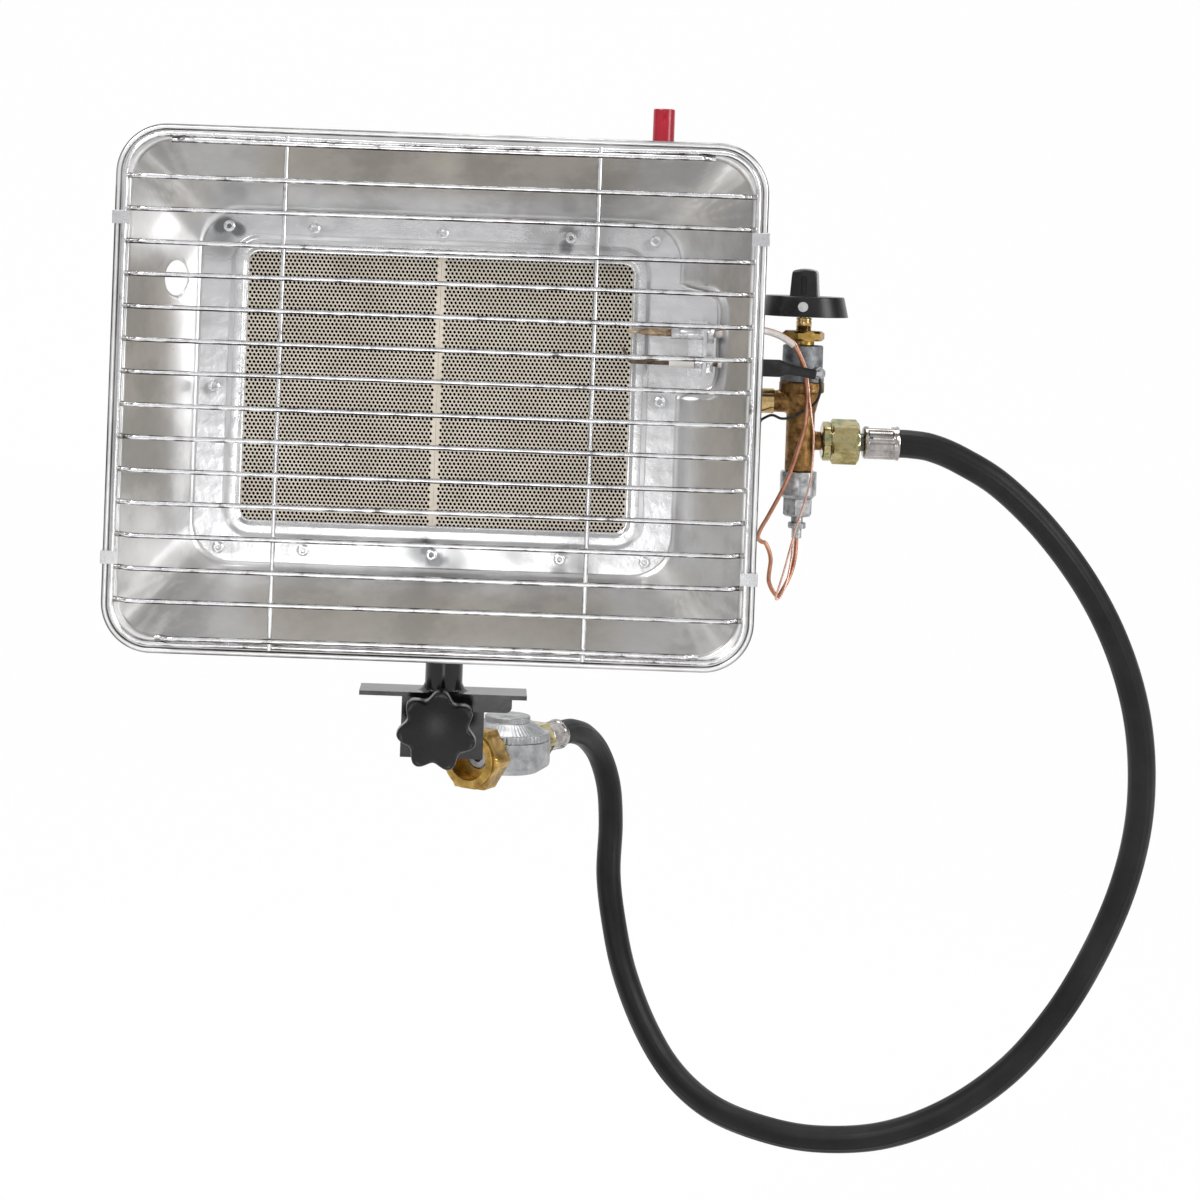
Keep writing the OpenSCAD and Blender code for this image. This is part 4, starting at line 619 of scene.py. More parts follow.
def plaque_mesh(name, side):
    """The pierced face, half-cell fillers at the ends of its rows, the border, the sides and the back."""
    left = 0.05 if side > 0 else -92.05
    width, height, bottom = 92.0, 132.0, -66.0
    inner = 1.3 if side > 0 else width - 1.3 - (field_columns + 0.5) * hole_pitch
    points, faces, dark, (x0, z0, fw, fh) = pierced_face(left, bottom, width, height, inner)
    extra, extra_faces = [], []

    def patch(xa, za, xb, zb, y=plaque_front):
        """A flat rectangle of the plaque's face beside the field of holes, as two triangles."""
        first = len(points) + 4 * len(extra)
        extra.append([(xa, y, za), (xb, y, za), (xb, y, zb), (xa, y, zb)])
        extra_faces.extend([(first, first + 1, first + 2), (first, first + 2, first + 3)])
    for k in range(field_rows):
        za, zb = z0 + k * row_pitch, z0 + (k + 1) * row_pitch
        if k % 2:
            patch(x0, za, x0 + hole_pitch / 2, zb)
        else:
            patch(x0 + fw - hole_pitch / 2, za, x0 + fw, zb)
    right, top = left + width, bottom + height
    patch(left, z0, x0, z0 + fh)
    patch(x0 + fw, z0, right, z0 + fh)
    patch(left, bottom, right, z0)
    patch(left, z0 + fh, right, top)
    first = len(points) + 4 * len(extra)
    box = [(x, y, z) for y in (plaque_front, plaque_back) for x, z in
           ((left, bottom), (right, bottom), (right, top), (left, top))]
    for k in range(4):
        m = (k + 1) % 4
        extra_faces.extend([(first + k, first + 4 + k, first + 4 + m), (first + k, first + 4 + m, first + m)])
    extra_faces.extend([(first + 4, first + 7, first + 6), (first + 4, first + 6, first + 5)])
    points = np.vstack([points, np.array(extra).reshape(-1, 3), np.array(box)])
    faces = np.vstack([faces, np.array(extra_faces)])
    dark = np.concatenate([dark, np.zeros(len(extra_faces))])
    keys, index = np.unique(np.round(points, 3), axis=0, return_inverse=True)
    faces = index.reshape(-1)[faces]
    mesh = bpy.data.meshes.new(name)
    mesh.from_pydata(((keys + head_at) / 1000), [], faces.tolist())
    mesh.polygons.foreach_set("material_index", dark.astype(np.int32))
    mesh.update()
    return mesh


cream = finish("cream_ceramic", (0.59, 0.525, 0.44), (0.73, 0.67, 0.575), 0.0, (0.75, 0.92), 55, contrast=(0.3, 0.7),
               grain=1800, bump=0.03, Specular_IOR_Level=0.25)
# Painted shade: near-black for the walls and floors of the holes.
bore_painted_shade = finish("bore_painted_shade", (0.003, 0.0025, 0.002), (0.008, 0.006, 0.005), 0.0, (0.9, 1.0), 200, bump=0.0,
                   Specular_IOR_Level=0.0)
for name, side in (("plaque_left", -1), ("plaque_right", 1)):
    plaque = bpy.data.objects.new("pierced_" + name, plaque_mesh("pierced_" + name, side))
    bpy.context.scene.collection.objects.link(plaque)
    plaque.data.materials.append(cream)
    plaque.data.materials.append(bore_painted_shade)
    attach(plaque, "head")
    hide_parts(name)

# ---- Grille ----
# Chromed steel wire: a closed ring inside the bead, two upright stays, and sixteen cross wires whose cranked ends
# are welded to the ring. Four small sheet clips hold it on the bead.
ring_y, stay_y, bar_y = -50.2, -52.4, -54.55
chrome = finish("chrome_wire", (0.055, 0.038, 0.032), (0.90, 0.90, 0.91), 1.0, (0.1, 0.22), 120,
                contrast=(0.20, 0.55), grain=900, bump=0.004)
chrome.node_tree.nodes["Color Ramp"].color_ramp.elements.new(0.30).color = (0.30, 0.285, 0.28, 1)
chrome.node_tree.nodes["Color Ramp"].color_ramp.elements.new(0.38).color = (0.74, 0.74, 0.75, 1)
# Painted shade and dark reflection lines on the wires: a point attribute moves the colour down the ramp to its brown
# end.
paint_by(chrome, "painted_wire_shade", -0.42)
weld = finish("weld_spots", (0.24, 0.23, 0.22), (0.45, 0.44, 0.43), 1.0, (0.25, 0.5), 500, grain=900, bump=0.05)


def paint_wire_shade(made, at, top=0.5, foot=400.0):
    """Painted brown shade on the side of each point that faces down, and a thin painted dark reflection line on top,
    from the upward part of the normal, swelling and fading along the wire; beyond foot from the middle the wire is
    darker all over."""
    count = len(made.data.vertices)
    normal, place = np.empty(count * 3, np.float32), np.empty(count * 3, np.float32)
    made.data.vertex_normals.foreach_get("vector", normal)
    made.data.vertices.foreach_get("co", place)
    normal, place = normal.reshape(-1, 3), place.reshape(-1, 3) * 1000
    swell = 0.72 + 0.28 * np.sin(place[:, 0] * 0.021 + place[:, 2] * 0.05 + at)
    under = np.clip((-normal[:, 2] - 0.25) / 0.4, 0, 1) * swell
    dark_ends = 0.55 * np.clip((np.abs(place[:, 0] - head_at[0]) - foot) / 2.5, 0, 1)
    give(made, "painted_wire_shade", np.maximum(np.maximum(under, dark_ends), top * np.clip((normal[:, 2] - 0.72) / 0.2, 0, 1)))


def closed_tube(path, radius, sides):
    """A grid round a closed path that lies in an upright plane: side vectors point outwards in that plane and
    along Y."""
    chord = np.roll(path, -1, 0) - np.roll(path, 1, 0)
    chord /= np.linalg.norm(chord, axis=1, keepdims=True)
    out = np.cross(chord, [0, 1, 0])
    turn = 2 * np.pi * np.arange(sides) / sides
    return path[:, None] + radius * (np.cos(turn)[None, :, None] * out[:, None]
                                     + np.sin(turn)[None, :, None] * np.array([0, 1.0, 0])[None, None])


ring_outline = rounded_outline(143.25, 115.25, 18.25, straight_steps)
bow = np.where(ring_outline[:, 1] > 100, -1.1 * np.cos(ring_outline[:, 0] / 118 * np.pi / 2).clip(0), 0)
ring_path = np.column_stack([ring_outline[:, 0], np.full(len(ring_outline), ring_y), ring_outline[:, 1] + bow])
ring_path = ring_path[::2]
ring_wire = piece("grille_ring_wire", [hollow(closed_tube(ring_path, 1.2, 16) + head_at)], "head",
                  chrome, "grille_ring")


def cross_wire(z, reach, slack=0.0):
    """A straight run in front, a cosine-shaped crank at both ends, and feet along the ring's plane."""
    step = np.linspace(0, 1, 11)
    left = np.column_stack([-reach + 2 + 5.5 * step, ring_y + (bar_y - ring_y) * (1 - np.cos(np.pi * step)) / 2])
    mid = np.column_stack([np.linspace(-reach + 9, reach - 9, 24), np.full(24, bar_y)])
    flat = np.vstack([[(-reach, ring_y)], left, mid, left[::-1] * [-1, 1], [(reach, ring_y)]])
    sag = slack * np.cos(flat[:, 0] / reach * np.pi / 2)
    return np.column_stack([flat[:, 0], flat[:, 1], z + sag])


bar_grids, weld_grids = [], []
bar_slack = (0.2, -0.3, 0.15, 0.3, -0.2, 0.1, -0.1, 0.25, -0.15, 0.1, 0.3, -0.25, 0.2, -0.1)
dot = [(0.05, -1.0), (0.55, -0.85), (0.9, -0.45), (1.0, 0), (0.9, 0.45), (0.55, 0.85), (0.05, 1.0)]
for i in range(14):
    z = (i - 6.5) * 14.75
    bar_grids.append(solid(tube(cross_wire(z, 142.0, bar_slack[i]) + head_at, 1.15, 14, (0, 0, 1))))
    for s in (-1, 1):
        weld_grids.append(solid(turned(np.array(dot) * [1.25, 2.0], 12, "x", head_at + [s * 141.2, ring_y, z])))
        weld_grids.append(solid(turned(np.array(dot) * [1.0, 1.5], 10, "x",
                                       head_at + [s * 70.8, stay_y - 1.1, z])))
for z in (112.6, -112.4):
    bar_grids.append(solid(tube(cross_wire(z, 123.0, -0.5 if z > 0 else 0.6) + head_at, 1.15, 14, (0, 0, 1))))
cross_wires = piece("grille_cross_wires", bar_grids, "head", chrome, "grille_bars")
stay_line = np.column_stack([np.zeros(30), np.full(30, stay_y), np.linspace(-116.4, 116.0, 30)])
stay_grids = [solid(tube(stay_line + head_at + [s * 70.8, 0, 0], 1.0, 14, (1, 0, 0))) for s in (-1, 1)]
stay_wires = piece("grille_stay_wires", stay_grids, "head", chrome, "grille_stays")
paint_wire_shade(ring_wire, 0.5)
paint_wire_shade(cross_wires, 1.2, 0.6, 138.0)
# Painted dark reflection lines down both sides of the upright stays, from the sideways part of the normal.
sideways = np.empty(len(stay_wires.data.vertices) * 3, np.float32)
stay_wires.data.vertex_normals.foreach_get("vector", sideways)
give(stay_wires, "painted_wire_shade", 0.55 * np.clip((np.abs(sideways.reshape(-1, 3)[:, 0]) - 0.62) / 0.25, 0, 1))
piece("grille_welds", weld_grids, "head", weld)


def slab(outline, low, high, bevel=0.2, plane="xz"):
    """A flat plate from its outline: the outline drawn in by the bevel, at full size twice, and drawn in again.
    The outline's inset moves each point along its corner's bisector."""
    o = np.asarray(outline, float)
    before, after = o - np.roll(o, 1, 0), np.roll(o, -1, 0) - o
    before /= np.linalg.norm(before, axis=1, keepdims=True)
    after /= np.linalg.norm(after, axis=1, keepdims=True)
    normal = np.stack([-(before[:, 1] + after[:, 1]), before[:, 0] + after[:, 0]], 1)
    normal /= np.maximum(1 + (before * after).sum(1, keepdims=True), 0.3)
    small = o + normal * bevel
    rings = [(small, low), (o, low + bevel), (o, high - bevel), (small, high)]
    stack = np.stack([np.column_stack([r[:, 0], r[:, 1], np.full(len(r), h)]) for r, h in rings])
    order = {"xy": (0, 1, 2), "xz": (0, 2, 1), "yz": (2, 0, 1)}[plane]
    return stack[..., list(order)]


clip_section = round_corners([(-7.3, -51.45), (0.35, -51.45), (0.75, -51.0), (0.75, -46.6), (-2.6, -46.3)],
                             [0.1, 0.4, 0.7], 5)
inner_line = round_corners([(-2.6, -46.85), (0.1, -47.1), (0.1, -50.85), (-7.3, -50.85)], [0.4, 0.2], 5)
clip_outline = np.vstack([clip_section, inner_line])
clip_steel = finish("clip_steel", (0.55, 0.55, 0.56), (0.80, 0.80, 0.81), 1.0, (0.2, 0.4), 160, bump=0.02)
clip_grids = []
for s in (-1, 1):
    for z in (-77, 77):
        g = slab(clip_outline, z - 3, z + 3, 0.12, "xy")
        g[..., 0] = s * (148 + g[..., 0])
        if s > 0:
            g = g[:, ::-1]
        clip_grids.append(solid(g + head_at))
piece("bead_clips", clip_grids, "head", clip_steel, "grille_clips")

# ---- Electrodes ----
# A flame sensor with a heat-tinted tip and a spark electrode in a white ceramic, each held by a nut in a bright
# bracket on the frame's tongue.


def grooves(radius, places, depth=0.2, width=0.5):
    """Profile points of narrow grooves: down, along and up again at each place."""
    return [(radius - (depth if 0 < k < 3 else 0), g + (k - 1.5) * width / 3) for g in places for k in range(4)]


def six_sided(profile, across, sides=48, axis="z", at=(0, 0, 0), spin=0.0):
    """A turned profile cut by a hexagon: each ring's radius is the smaller of the profile's and the flat's, which
    is half the width across flats over the cosine of the angle from the flat's middle. Spin is in degrees."""
    p = np.asarray(profile, float)
    turn = 2 * np.pi * np.arange(sides) / sides
    flat = across / 2 / np.cos((turn - math.radians(spin)) % (np.pi / 3) - np.pi / 6)
    r = np.minimum(p[:, :1], flat[None])
    a, b = r * np.cos(turn), r * np.sin(turn)
    h = np.repeat(p[:, 1:2], sides, 1)
    return np.stack({"x": (h, a, b), "y": (b, h, a), "z": (a, b, h)}[axis], -1) + np.asarray(at, float)


def nut_profile(across, low, high, bore):
    """Outline of a hexagonal nut with a 30 degree chamfer at both ends."""
    corner, edge = across / 1.7321, across / 2 * 0.97
    rise = (corner - edge) * 0.58
    return [(bore, low), (edge, low), (corner, low + rise), (corner, high - rise), (edge, high), (bore, high)]


tinted = finish("heat_tinted_steel", (0.20, 0.13, 0.08), (0.72, 0.55, 0.36), 1.0, (0.22, 0.4), 160,
                contrast=(0.38, 0.6), grain=900, bump=0.01)
bright_steel = finish("bright_steel", (0.50, 0.50, 0.51), (0.78, 0.78, 0.79), 1.0, (0.18, 0.34), 180, bump=0.01)
white_ceramic = finish("white_ceramic", (0.66, 0.63, 0.60), (0.82, 0.80, 0.77), 0.0, (0.25, 0.4), 120, bump=0.01)
kanthal = finish("spark_wire", (0.05, 0.035, 0.025), (0.22, 0.15, 0.10), 0.6, (0.4, 0.6), 300, bump=0.02)
sensor_at, spark_at = head_at + [0, -9, 32], head_at + [0, -9, 17.9]
piece("sensor_sheath", [
    solid(turned([(0.3, 88.55), (0.8, 89.1), (0.8, 93.6), (1.2, 95.0), (1.62, 97.6), (1.65, 108.6)], 24, "x",
                 sensor_at)),
    solid(turned([(1.7, 108.42), (2.75, 108.5), (2.95, 108.8), (2.95, 112.2), (2.75, 112.5), (2.75, 112.9),
                  (2.9, 113.2)]
                 + grooves(2.9, (121.6, 122.8), 0.12) + [(2.95, 124.2), (2.95, 128.2), (2.7, 128.5)], 32, "x",
                 sensor_at), 1)], "head", [tinted, bright_steel], "thermocouple_probe")
thread = [p for k in range(5) for p in ((2.2, 119.9 + k * 0.75), (2.03, 120.27 + k * 0.75))]
piece("spark_ceramic", [
    solid(turned([(1.05, 107.92), (1.95, 107.95), (2.2, 108.25), (2.2, 119.4), (1.9, 119.6)], 28, "x", spark_at)),
    solid(turned([(1.5, 119.5)] + thread + [(2.2, 124.0), (2.2, 127.3), (1.9, 127.5)], 28, "x", spark_at), 1)],
      "head", [white_ceramic, bright_steel], "igniter_insulator")
spark_path = smooth_route([(130.4, 0, 0), (120, 0, 0), (108, 0, 0), (92, 0, 0.05), (90, 0, 0.6), (88.4, 0, 1.9),
                           (87.2, 0, 4.2), (86.1, 0, 6.5)], 6)
piece("spark_wire", [solid(tube(spark_path + spark_at, 0.98 - 0.22 * (spark_path[:, 0] < 89), 14))],
      "head", kanthal, "igniter_rod")
plate_x = 124.9
piece("electrode_fixing_nuts", [
    hollow(six_sided(nut_profile(9, plate_x + 0.02, plate_x + 3.38, 3.0), 9, 48, "x", sensor_at)),
    hollow(six_sided(nut_profile(7.6, plate_x + 0.02, plate_x + 3.38, 2.25), 7.6, 48, "x", spark_at))],
    "head", bright_steel, "electrode_nuts")
dress("electrode_bracket", clip_steel)

# ---- Valve ----
# A sand-cast brass body with a turned outlet on its left, which feeds the mixing tube.
# A grey die-cast bonnet closes it, and a turned bushing with two brass nuts holds it in its bracket.
valve_at = head_at + [174.2, 25, 0]
cast_brass = finish("cast_brass", (0.10, 0.05, 0.017), (0.36, 0.205, 0.075), 1.0, (0.36, 0.55), 260,
                    contrast=(0.36, 0.66), grain=1500, bump=0.14)
turned_brass = finish("turned_brass", (0.30, 0.18, 0.06), (0.68, 0.50, 0.24), 1.0, (0.16, 0.34), 220,
                      contrast=(0.3, 0.7), grain=1200, bump=0.01)
old_brass = finish("old_brass", (0.26, 0.15, 0.04), (0.58, 0.38, 0.11), 1.0, (0.28, 0.46), 150,
                   contrast=(0.35, 0.65), grain=1400, bump=0.03)
die_cast = finish("die_cast_zinc", (0.10, 0.105, 0.11), (0.27, 0.28, 0.29), 0.75, (0.42, 0.6), 170,
                  contrast=(0.35, 0.65), grain=1300, bump=0.08)
casting = piece("valve_casting", [
    solid(turned(round_corners([(0.3, -33.2), (6.8, -33.2), (6.8, -5.5), (9.4, 4.6), (10.75, 4.6), (10.75, 9.8),
                                (0.3, 9.8)], [0.2, 3, 0.8, 0.5, 0.4], 5), 48, "z", valve_at)),
    solid(turned([(0.3, -13.4), (5.25, -13.4), (5.25, -8), (5.9, -5.4), (6.4, -4), (0.3, -4)], 40, "x", valve_at)),
    solid(turned([(0.3, 2), (4.5, 2), (4.5, 10.2), (0.3, 10.2)], 32, "x", valve_at + [0, 0, -18.4]))],
    "head", cast_brass, "valve_body")
fused = casting.modifiers.new("fused", "REMESH")
fused.mode, fused.voxel_size, fused.use_smooth_shade = "VOXEL", 0.00042, True
fillets = casting.modifiers.new("fillets", "SMOOTH")
fillets.factor, fillets.iterations = 0.5, 5
piece("outlet_collar", [
    solid(turned([(4.6, -20.3), (5.6, -20.3), (6.0, -19.9), (6.0, -13.5), (5.6, -13.05), (2.6, -13.05)], 48, "x",
                 valve_at)),
    solid(turned([(2.5, -37.0), (4.3, -37.0)] + [(4.74 - 0.28 * (k % 2), -36.5 + k * 0.6) for k in range(27)]
                 + [(2.5, -20.2)], 32, "x", valve_at))], "head", turned_brass)
piece("die_cast_bonnet", [solid(turned(round_corners(
         [(4.0, 9.85), (10.45, 9.85), (10.45, 13.6), (9.72, 14.6), (9.62, 26.9), (9.0, 27.35), (3.8, 27.35),
          (3.8, 24.6)],
         [0.25, 0.6, 0.6, 0.7, 0.5, 0.1], 4), 64, "z", valve_at))], "head", die_cast,
    "valve_bonnet")
bushing_thread = [(3.7 - 0.16 * (k % 2), 29.8 + k * 0.5) for k in range(14)]
piece("threaded_bushing", [hollow(turned([(2.55, 24.4), (3.7, 24.4), (3.7, 29.5)] + bushing_thread
                                         + [(3.7, 36.6), (3.7, 38.6), (3.45, 38.8), (3.45, 39.2), (3.7, 39.4),
                                            (3.7, 40.1), (3.4, 40.38), (2.55, 40.38), (2.55, 30)], 40, "z",
                                         valve_at))], "head", turned_brass, "stem_bushing")
piece("bonnet_nut", [
    hollow(six_sided(nut_profile(18.3, 29.45, 34.1, 3.78), 18.3, 72, "z", valve_at, 11.4)),
    hollow(turned([(3.78, 27.42), (5.0, 27.42), (5.25, 27.6), (5.25, 29.4), (3.78, 29.4)], 40, "z", valve_at))],
      "head", old_brass, "panel_nut")

# ---- Gas knob ----
# Black moulded knob with a skirt, a tapered grip fin with a slot, and a grey pointer dot.
# It is pushed onto a turned brass spindle and stands on a steel return spring.
knob_black = finish("knob_black", (0.006, 0.006, 0.007), (0.014, 0.014, 0.015), 0.0, (0.2, 0.32), 60, grain=1800,
                    bump=0.006, Specular_IOR_Level=0.36)
skirt = round_corners([(20.0, 41.1), (21.0, 41.1), (18.8, 50.8), (0.4, 50.85)], [0.3, 0.7], 6)
under = round_corners([(0.4, 49.2), (17.6, 49.2), (19.2, 41.4), (20.0, 41.1)], [0.8, 0.2], 4)


def about_z(degrees):
    """The matrix that turns rows of points about Z."""
    a = math.radians(degrees)
    return np.array([[math.cos(a), math.sin(a), 0], [-math.sin(a), math.cos(a), 0], [0, 0, 1]])


def fin_ring(half_x, end_r, z, slot_in=0.0):
    """The grip fin at one height: straight sides, and ends on a circle of radius end_r, whose front end has a slot
    slot_in deep. The rounded corners are quarter circles of 0.9."""
    c = 0.9
    far = math.sqrt(end_r**2 - (half_x - c) ** 2)
    part = np.array([-1, -0.75, -0.5]) * (half_x - c)
    across = np.concatenate([part, [-1.3, -1.22, -0.8, 0, 0.8, 1.22, 1.3], -part[::-1]])
    front = np.column_stack([across, -np.sqrt(end_r**2 - across**2)])
    front[np.abs(across) < 1.25, 1] += slot_in
    a = np.radians([-70, -45, -20, 0])
    corner = np.column_stack([half_x - c + c * np.cos(a), -far + c + c * np.sin(a)])
    side = np.array([[half_x, -far * 0.5], [half_x, 0]])
    right = np.vstack([corner, side])
    back_right = right[::-1] * [1, -1]
    back = front[::-1].copy()
    back[:, 1] = np.sqrt(end_r**2 - back[:, 0] ** 2)
    left = np.vstack([right, back_right[1:]])[::-1] * [-1, 1]
    ring = np.vstack([front, right, back_right[1:], back, left])
    return np.column_stack([ring, np.full(len(ring), z)])


fin_rows = [(6.65 - 0.8 * t, 18.2 - 0.7 * t, 50.3 + 12.2 * t, 2.0 if 0.12 < t < 0.83 else 0.0)
            for t in (0, 0.06, 0.115, 0.125, 0.15, 0.3, 0.5, 0.7, 0.8, 0.825, 0.835, 0.9, 1.0)]
fin_rows += [(5.85 - 1.3 * (1 - math.cos(a)), 17.5 - 1.3 * (1 - math.cos(a)), 62.5 + 1.3 * math.sin(a), 0.0)
             for a in np.radians([20, 40, 60, 75, 90])]
fin = np.stack([fin_ring(*row) for row in fin_rows])
fin = np.vstack([fin, np.stack([fin[-1] * [t, t, 1] + [0, 0, 0.1] for t in (0.7, 0.4, 0.02)])])
fin[:, :, 2] -= 1.0 * (fin[:, :, 0] / 6.0) ** 2 * np.clip((fin[:, :, 2] - 60.5) / 2, 0, 1)
pointer = about_z(-8.5)
fin = fin @ pointer
gas_spindle = [(2.3, 9.7), (2.3, 20.7), (2.47, 20.85), (2.47, 56.5), (2.2, 56.78)]
piece("knob_body", [hollow(turned(np.vstack([skirt, under]), 96, "z", valve_at)),
                    solid(fin + valve_at),
                    hollow(turned([(2.6, 44.9), (6.0, 44.9), (6.0, 49.4), (2.6, 49.4)], 40, "z", valve_at))],
      "gas_knob", knob_black, "gas_knob")
dot_grey = finish("dot_grey", (0.42, 0.42, 0.42), (0.55, 0.55, 0.55), 0.0, (0.45, 0.6), 400, grain=3000, bump=0.02)
lean = math.atan(2.2 / 9.7)
dot_disc = turned([(0.05, 0.8), (2.4, 0.8), (2.4, -0.05), (2.25, -0.16), (0.05, -0.16)], 40, "y")
dot_disc = dot_disc @ [[1, 0, 0], [0, math.cos(lean), -math.sin(lean)], [0, math.sin(lean), math.cos(lean)]]
piece("pointer_dot", [solid((dot_disc + [0, -19.9, 45.95]) @ pointer + valve_at)], "gas_knob",
      dot_grey, "knob_dot")
piece("knob_spindle", [solid(turned([(0.1, 9.7)] + gas_spindle + [(0.1, 56.78)], 32, "z", valve_at))],
      "gas_knob", turned_brass, "gas_spindle")
coil_turn = np.linspace(0, 1, 200)
coil = np.column_stack([3.85 * np.cos(2 * np.pi * 6 * coil_turn), 3.85 * np.sin(2 * np.pi * 6 * coil_turn),
                        10.3 + 8.5 * coil_turn])
spring = piece("return_spring", [solid(tube(coil + valve_at, 0.42, 8, (0, 0, 1)))], "head",
               bright_steel, "spindle_spring")
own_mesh(spring)
dress("push_plate", bright_steel)

# ---- Flame failure magnet and hose inlet ----
# The magnet's plated housing with the lead's end piece, and the yellow zinc ring and nut and the crimped sleeve
# that hold the hose.
plated = finish("plated_casting", (0.20, 0.205, 0.21), (0.56, 0.565, 0.57), 1.0, (0.3, 0.48), 240,
                contrast=(0.36, 0.62), grain=1200, bump=0.07)
piece("magnet_cup", [solid(six_sided(round_corners([(0.2, -46.15), (7.0, -46.15), (8.8, -44.4), (8.8, -33.3),
                                                    (0.2, -33.3)],
                                                   [0.3, 0.5, 0.3], 4), 16.9, 72, "z", valve_at, 15))],
      "head", plated, "magnet_housing")
piece("magnet_hexagon", [
    solid(six_sided([(0.2, -54.8), (5.6, -54.8), (6.1, -54.6), (7.27, -53.7), (7.27, -46.25), (0.2, -46.25)], 12.6,
                    72, "z", valve_at, 15)),
    solid(turned([(0.2, -57.7), (2.6, -57.7), (2.85, -57.5), (2.85, -54.7), (0.2, -54.7)], 32, "z", valve_at)),
    solid(six_sided([(0.2, -60.5), (4.0, -60.5), (4.3, -60.2), (4.3, -58.0), (4.0, -57.7), (0.2, -57.7)], 8.0, 48,
                    "z", valve_at, 8)),
    solid(turned([(0.9, -65.3), (2.2, -65.3), (2.4, -65.0), (2.4, -60.4), (0.9, -60.4)], 32, "z", valve_at))], "head",
      plated, "magnet_nut")
yellow_zinc = finish("yellow_zinc", (0.12, 0.12, 0.045), (0.52, 0.31, 0.23), 1.0, (0.12, 0.26), 95,
                     contrast=(0.30, 0.72), grain=1100, bump=0.01)
ramp = yellow_zinc.node_tree.nodes["Color Ramp"].color_ramp
for stop, colour in ((0.42, (0.36, 0.29, 0.12, 1)), (0.52, (0.50, 0.42, 0.22, 1)), (0.60, (0.20, 0.26, 0.13, 1))):
    ramp.elements.new(stop).color = colour
inlet_at = valve_at + [0, 0, -18.4]
piece("inlet_collar", [hollow(six_sided([(2.1, 10.42), (8.2, 10.42), (9.4, 11.0), (9.4, 13.9), (9.0, 14.2),
                                         (2.1, 14.2)],
                                        17.4, 72, "x", inlet_at, 18.4))],
      "head", yellow_zinc, "inlet_ring")
piece("inlet_union_nut", [hollow(six_sided(nut_profile(19, 14.45, 27.95, 2.1), 19, 96, "x", inlet_at, 18.4))], "head",
      yellow_zinc, "inlet_nut")


def crimped(x, at, look=0):
    """A crimped sleeve along X: eight pressed panels, each a smooth step down in the angle and along the sleeve,
    between a rolled mouth and a rounded neck, with the nipple in front."""
    length, r, rows, sides = 17.0, 7.85, 46, 160
    along_x = np.concatenate([[0, 0, 0.35, 0.9], np.linspace(1.5, length - 1.9, rows), [length - 1.5, length - 1.0,
                              length - 0.45, length - 0.1, length, length]])
    edge = np.concatenate([[2.6, r - 1.0, r - 0.35, r], np.full(rows, r), [r, r + 0.25, r + 0.42, r + 0.25, r - 0.15,
                           r - 1.05]])
    a = 2 * np.pi * np.arange(sides) / sides
    phase = np.abs((a * 8 / (2 * np.pi) + 0.3) % 1 - 0.5) * 2
    panel = 1 - ease((phase - 0.66) / 0.2)
    window = np.clip((along_x - 1.9) / 0.8, 0, 1) * np.clip((length - 2.6 - along_x) / 0.8, 0, 1)
    radius = edge[:, None] - 0.55 * panel[None] * window[:, None]
    grid = np.stack([np.repeat(along_x[:, None] + x, sides, 1), radius * np.cos(a), radius * np.sin(a)], -1)
    neck = turned([(1.6, x - 2.25), (4.0, x - 2.25), (4.3, x - 1.9), (4.3, x + 0.3), (1.6, x + 0.3)], 40, "x")
    return [solid(grid + at, look), solid(neck + at, look + 1)]


crimp_steel = finish("crimp_steel", (0.20, 0.18, 0.17), (0.52, 0.49, 0.47), 1.0, (0.12, 0.24), 130,
                     contrast=(0.3, 0.66), grain=1000, bump=0.01)
dark_steel = finish("dark_steel", (0.06, 0.06, 0.06), (0.16, 0.16, 0.16), 1.0, (0.3, 0.45), 200, bump=0.02)
peep = turned([(0.05, 0.25), (0.75, 0.25), (0.78, 0.06), (0.62, -0.03), (0.05, -0.03)], 20, "y")
piece("hose_sleeve", crimped(30.2, inlet_at) + [solid(peep + inlet_at + [33.6, -7.2, 2.9], 1)], "head",
      [crimp_steel, dark_steel], "hose_ferrule")

# ---- Leads ----
# Copper capillary of the flame sensor in white glass sleeving, its fine wire, and the black earth lead with its
# crimped ring terminal.
probe_tail = (-45.6, -34, 32)
sleeve_route = [probe_tail, (-42.5, -34, 32.1), (-38, -32, 32.7), (-31.5, -26, 33.5), (-25, -19, 33.9),
                (-19.5, -14, 33.7), (-12.9, -12.6, 31.8), (-8, -12.3, 29), (-5.7, -12.2, 27.3)]
lead_route = [(-5.7, -12.2, 27.3), (-3.2, -12.2, 23), (-0.6, -12.3, 17), (0.8, -12.6, 10), (1.6, -12.4, 2),
              (0.5, -12, -12), (-3.7, -12, -27.6), (-8, -12, -39.7), (-14.6, -12, -53.2), (-18.5, -12, -60.5),
              (-19.6, -12, -64.5), (-18, -12, -66.3), (-15.6, -12, -67.5), (-13.2, -12, -74.4), (-13.7, -12, -85),
              (-9.5, -11, -91.9), (-6.3, -9.5, -88.4), (-2.5, -6, -81), (-0.6, -2.5, -74), (0, 0, -67.5),
              (0, 0, -65.3)]
wire_route = [(2.3, -13.9, 3), (3.9, -13.4, -7.3), (5.1, -13.2, -16.8), (4.4, -13, -35.7), (1.5, -13.4, -47.7),
              (-2.7, -14.2, -62), (-6.8, -15, -78.7), (-9.6, -15, -89), (-10.4, -14.4, -93), (-8.2, -13.4, -92.2),
              (-5.4, -11.6, -86), (-3.4, -8.6, -77.5), (-2.4, -5, -71), (-1.9, -2.2, -66.3)]
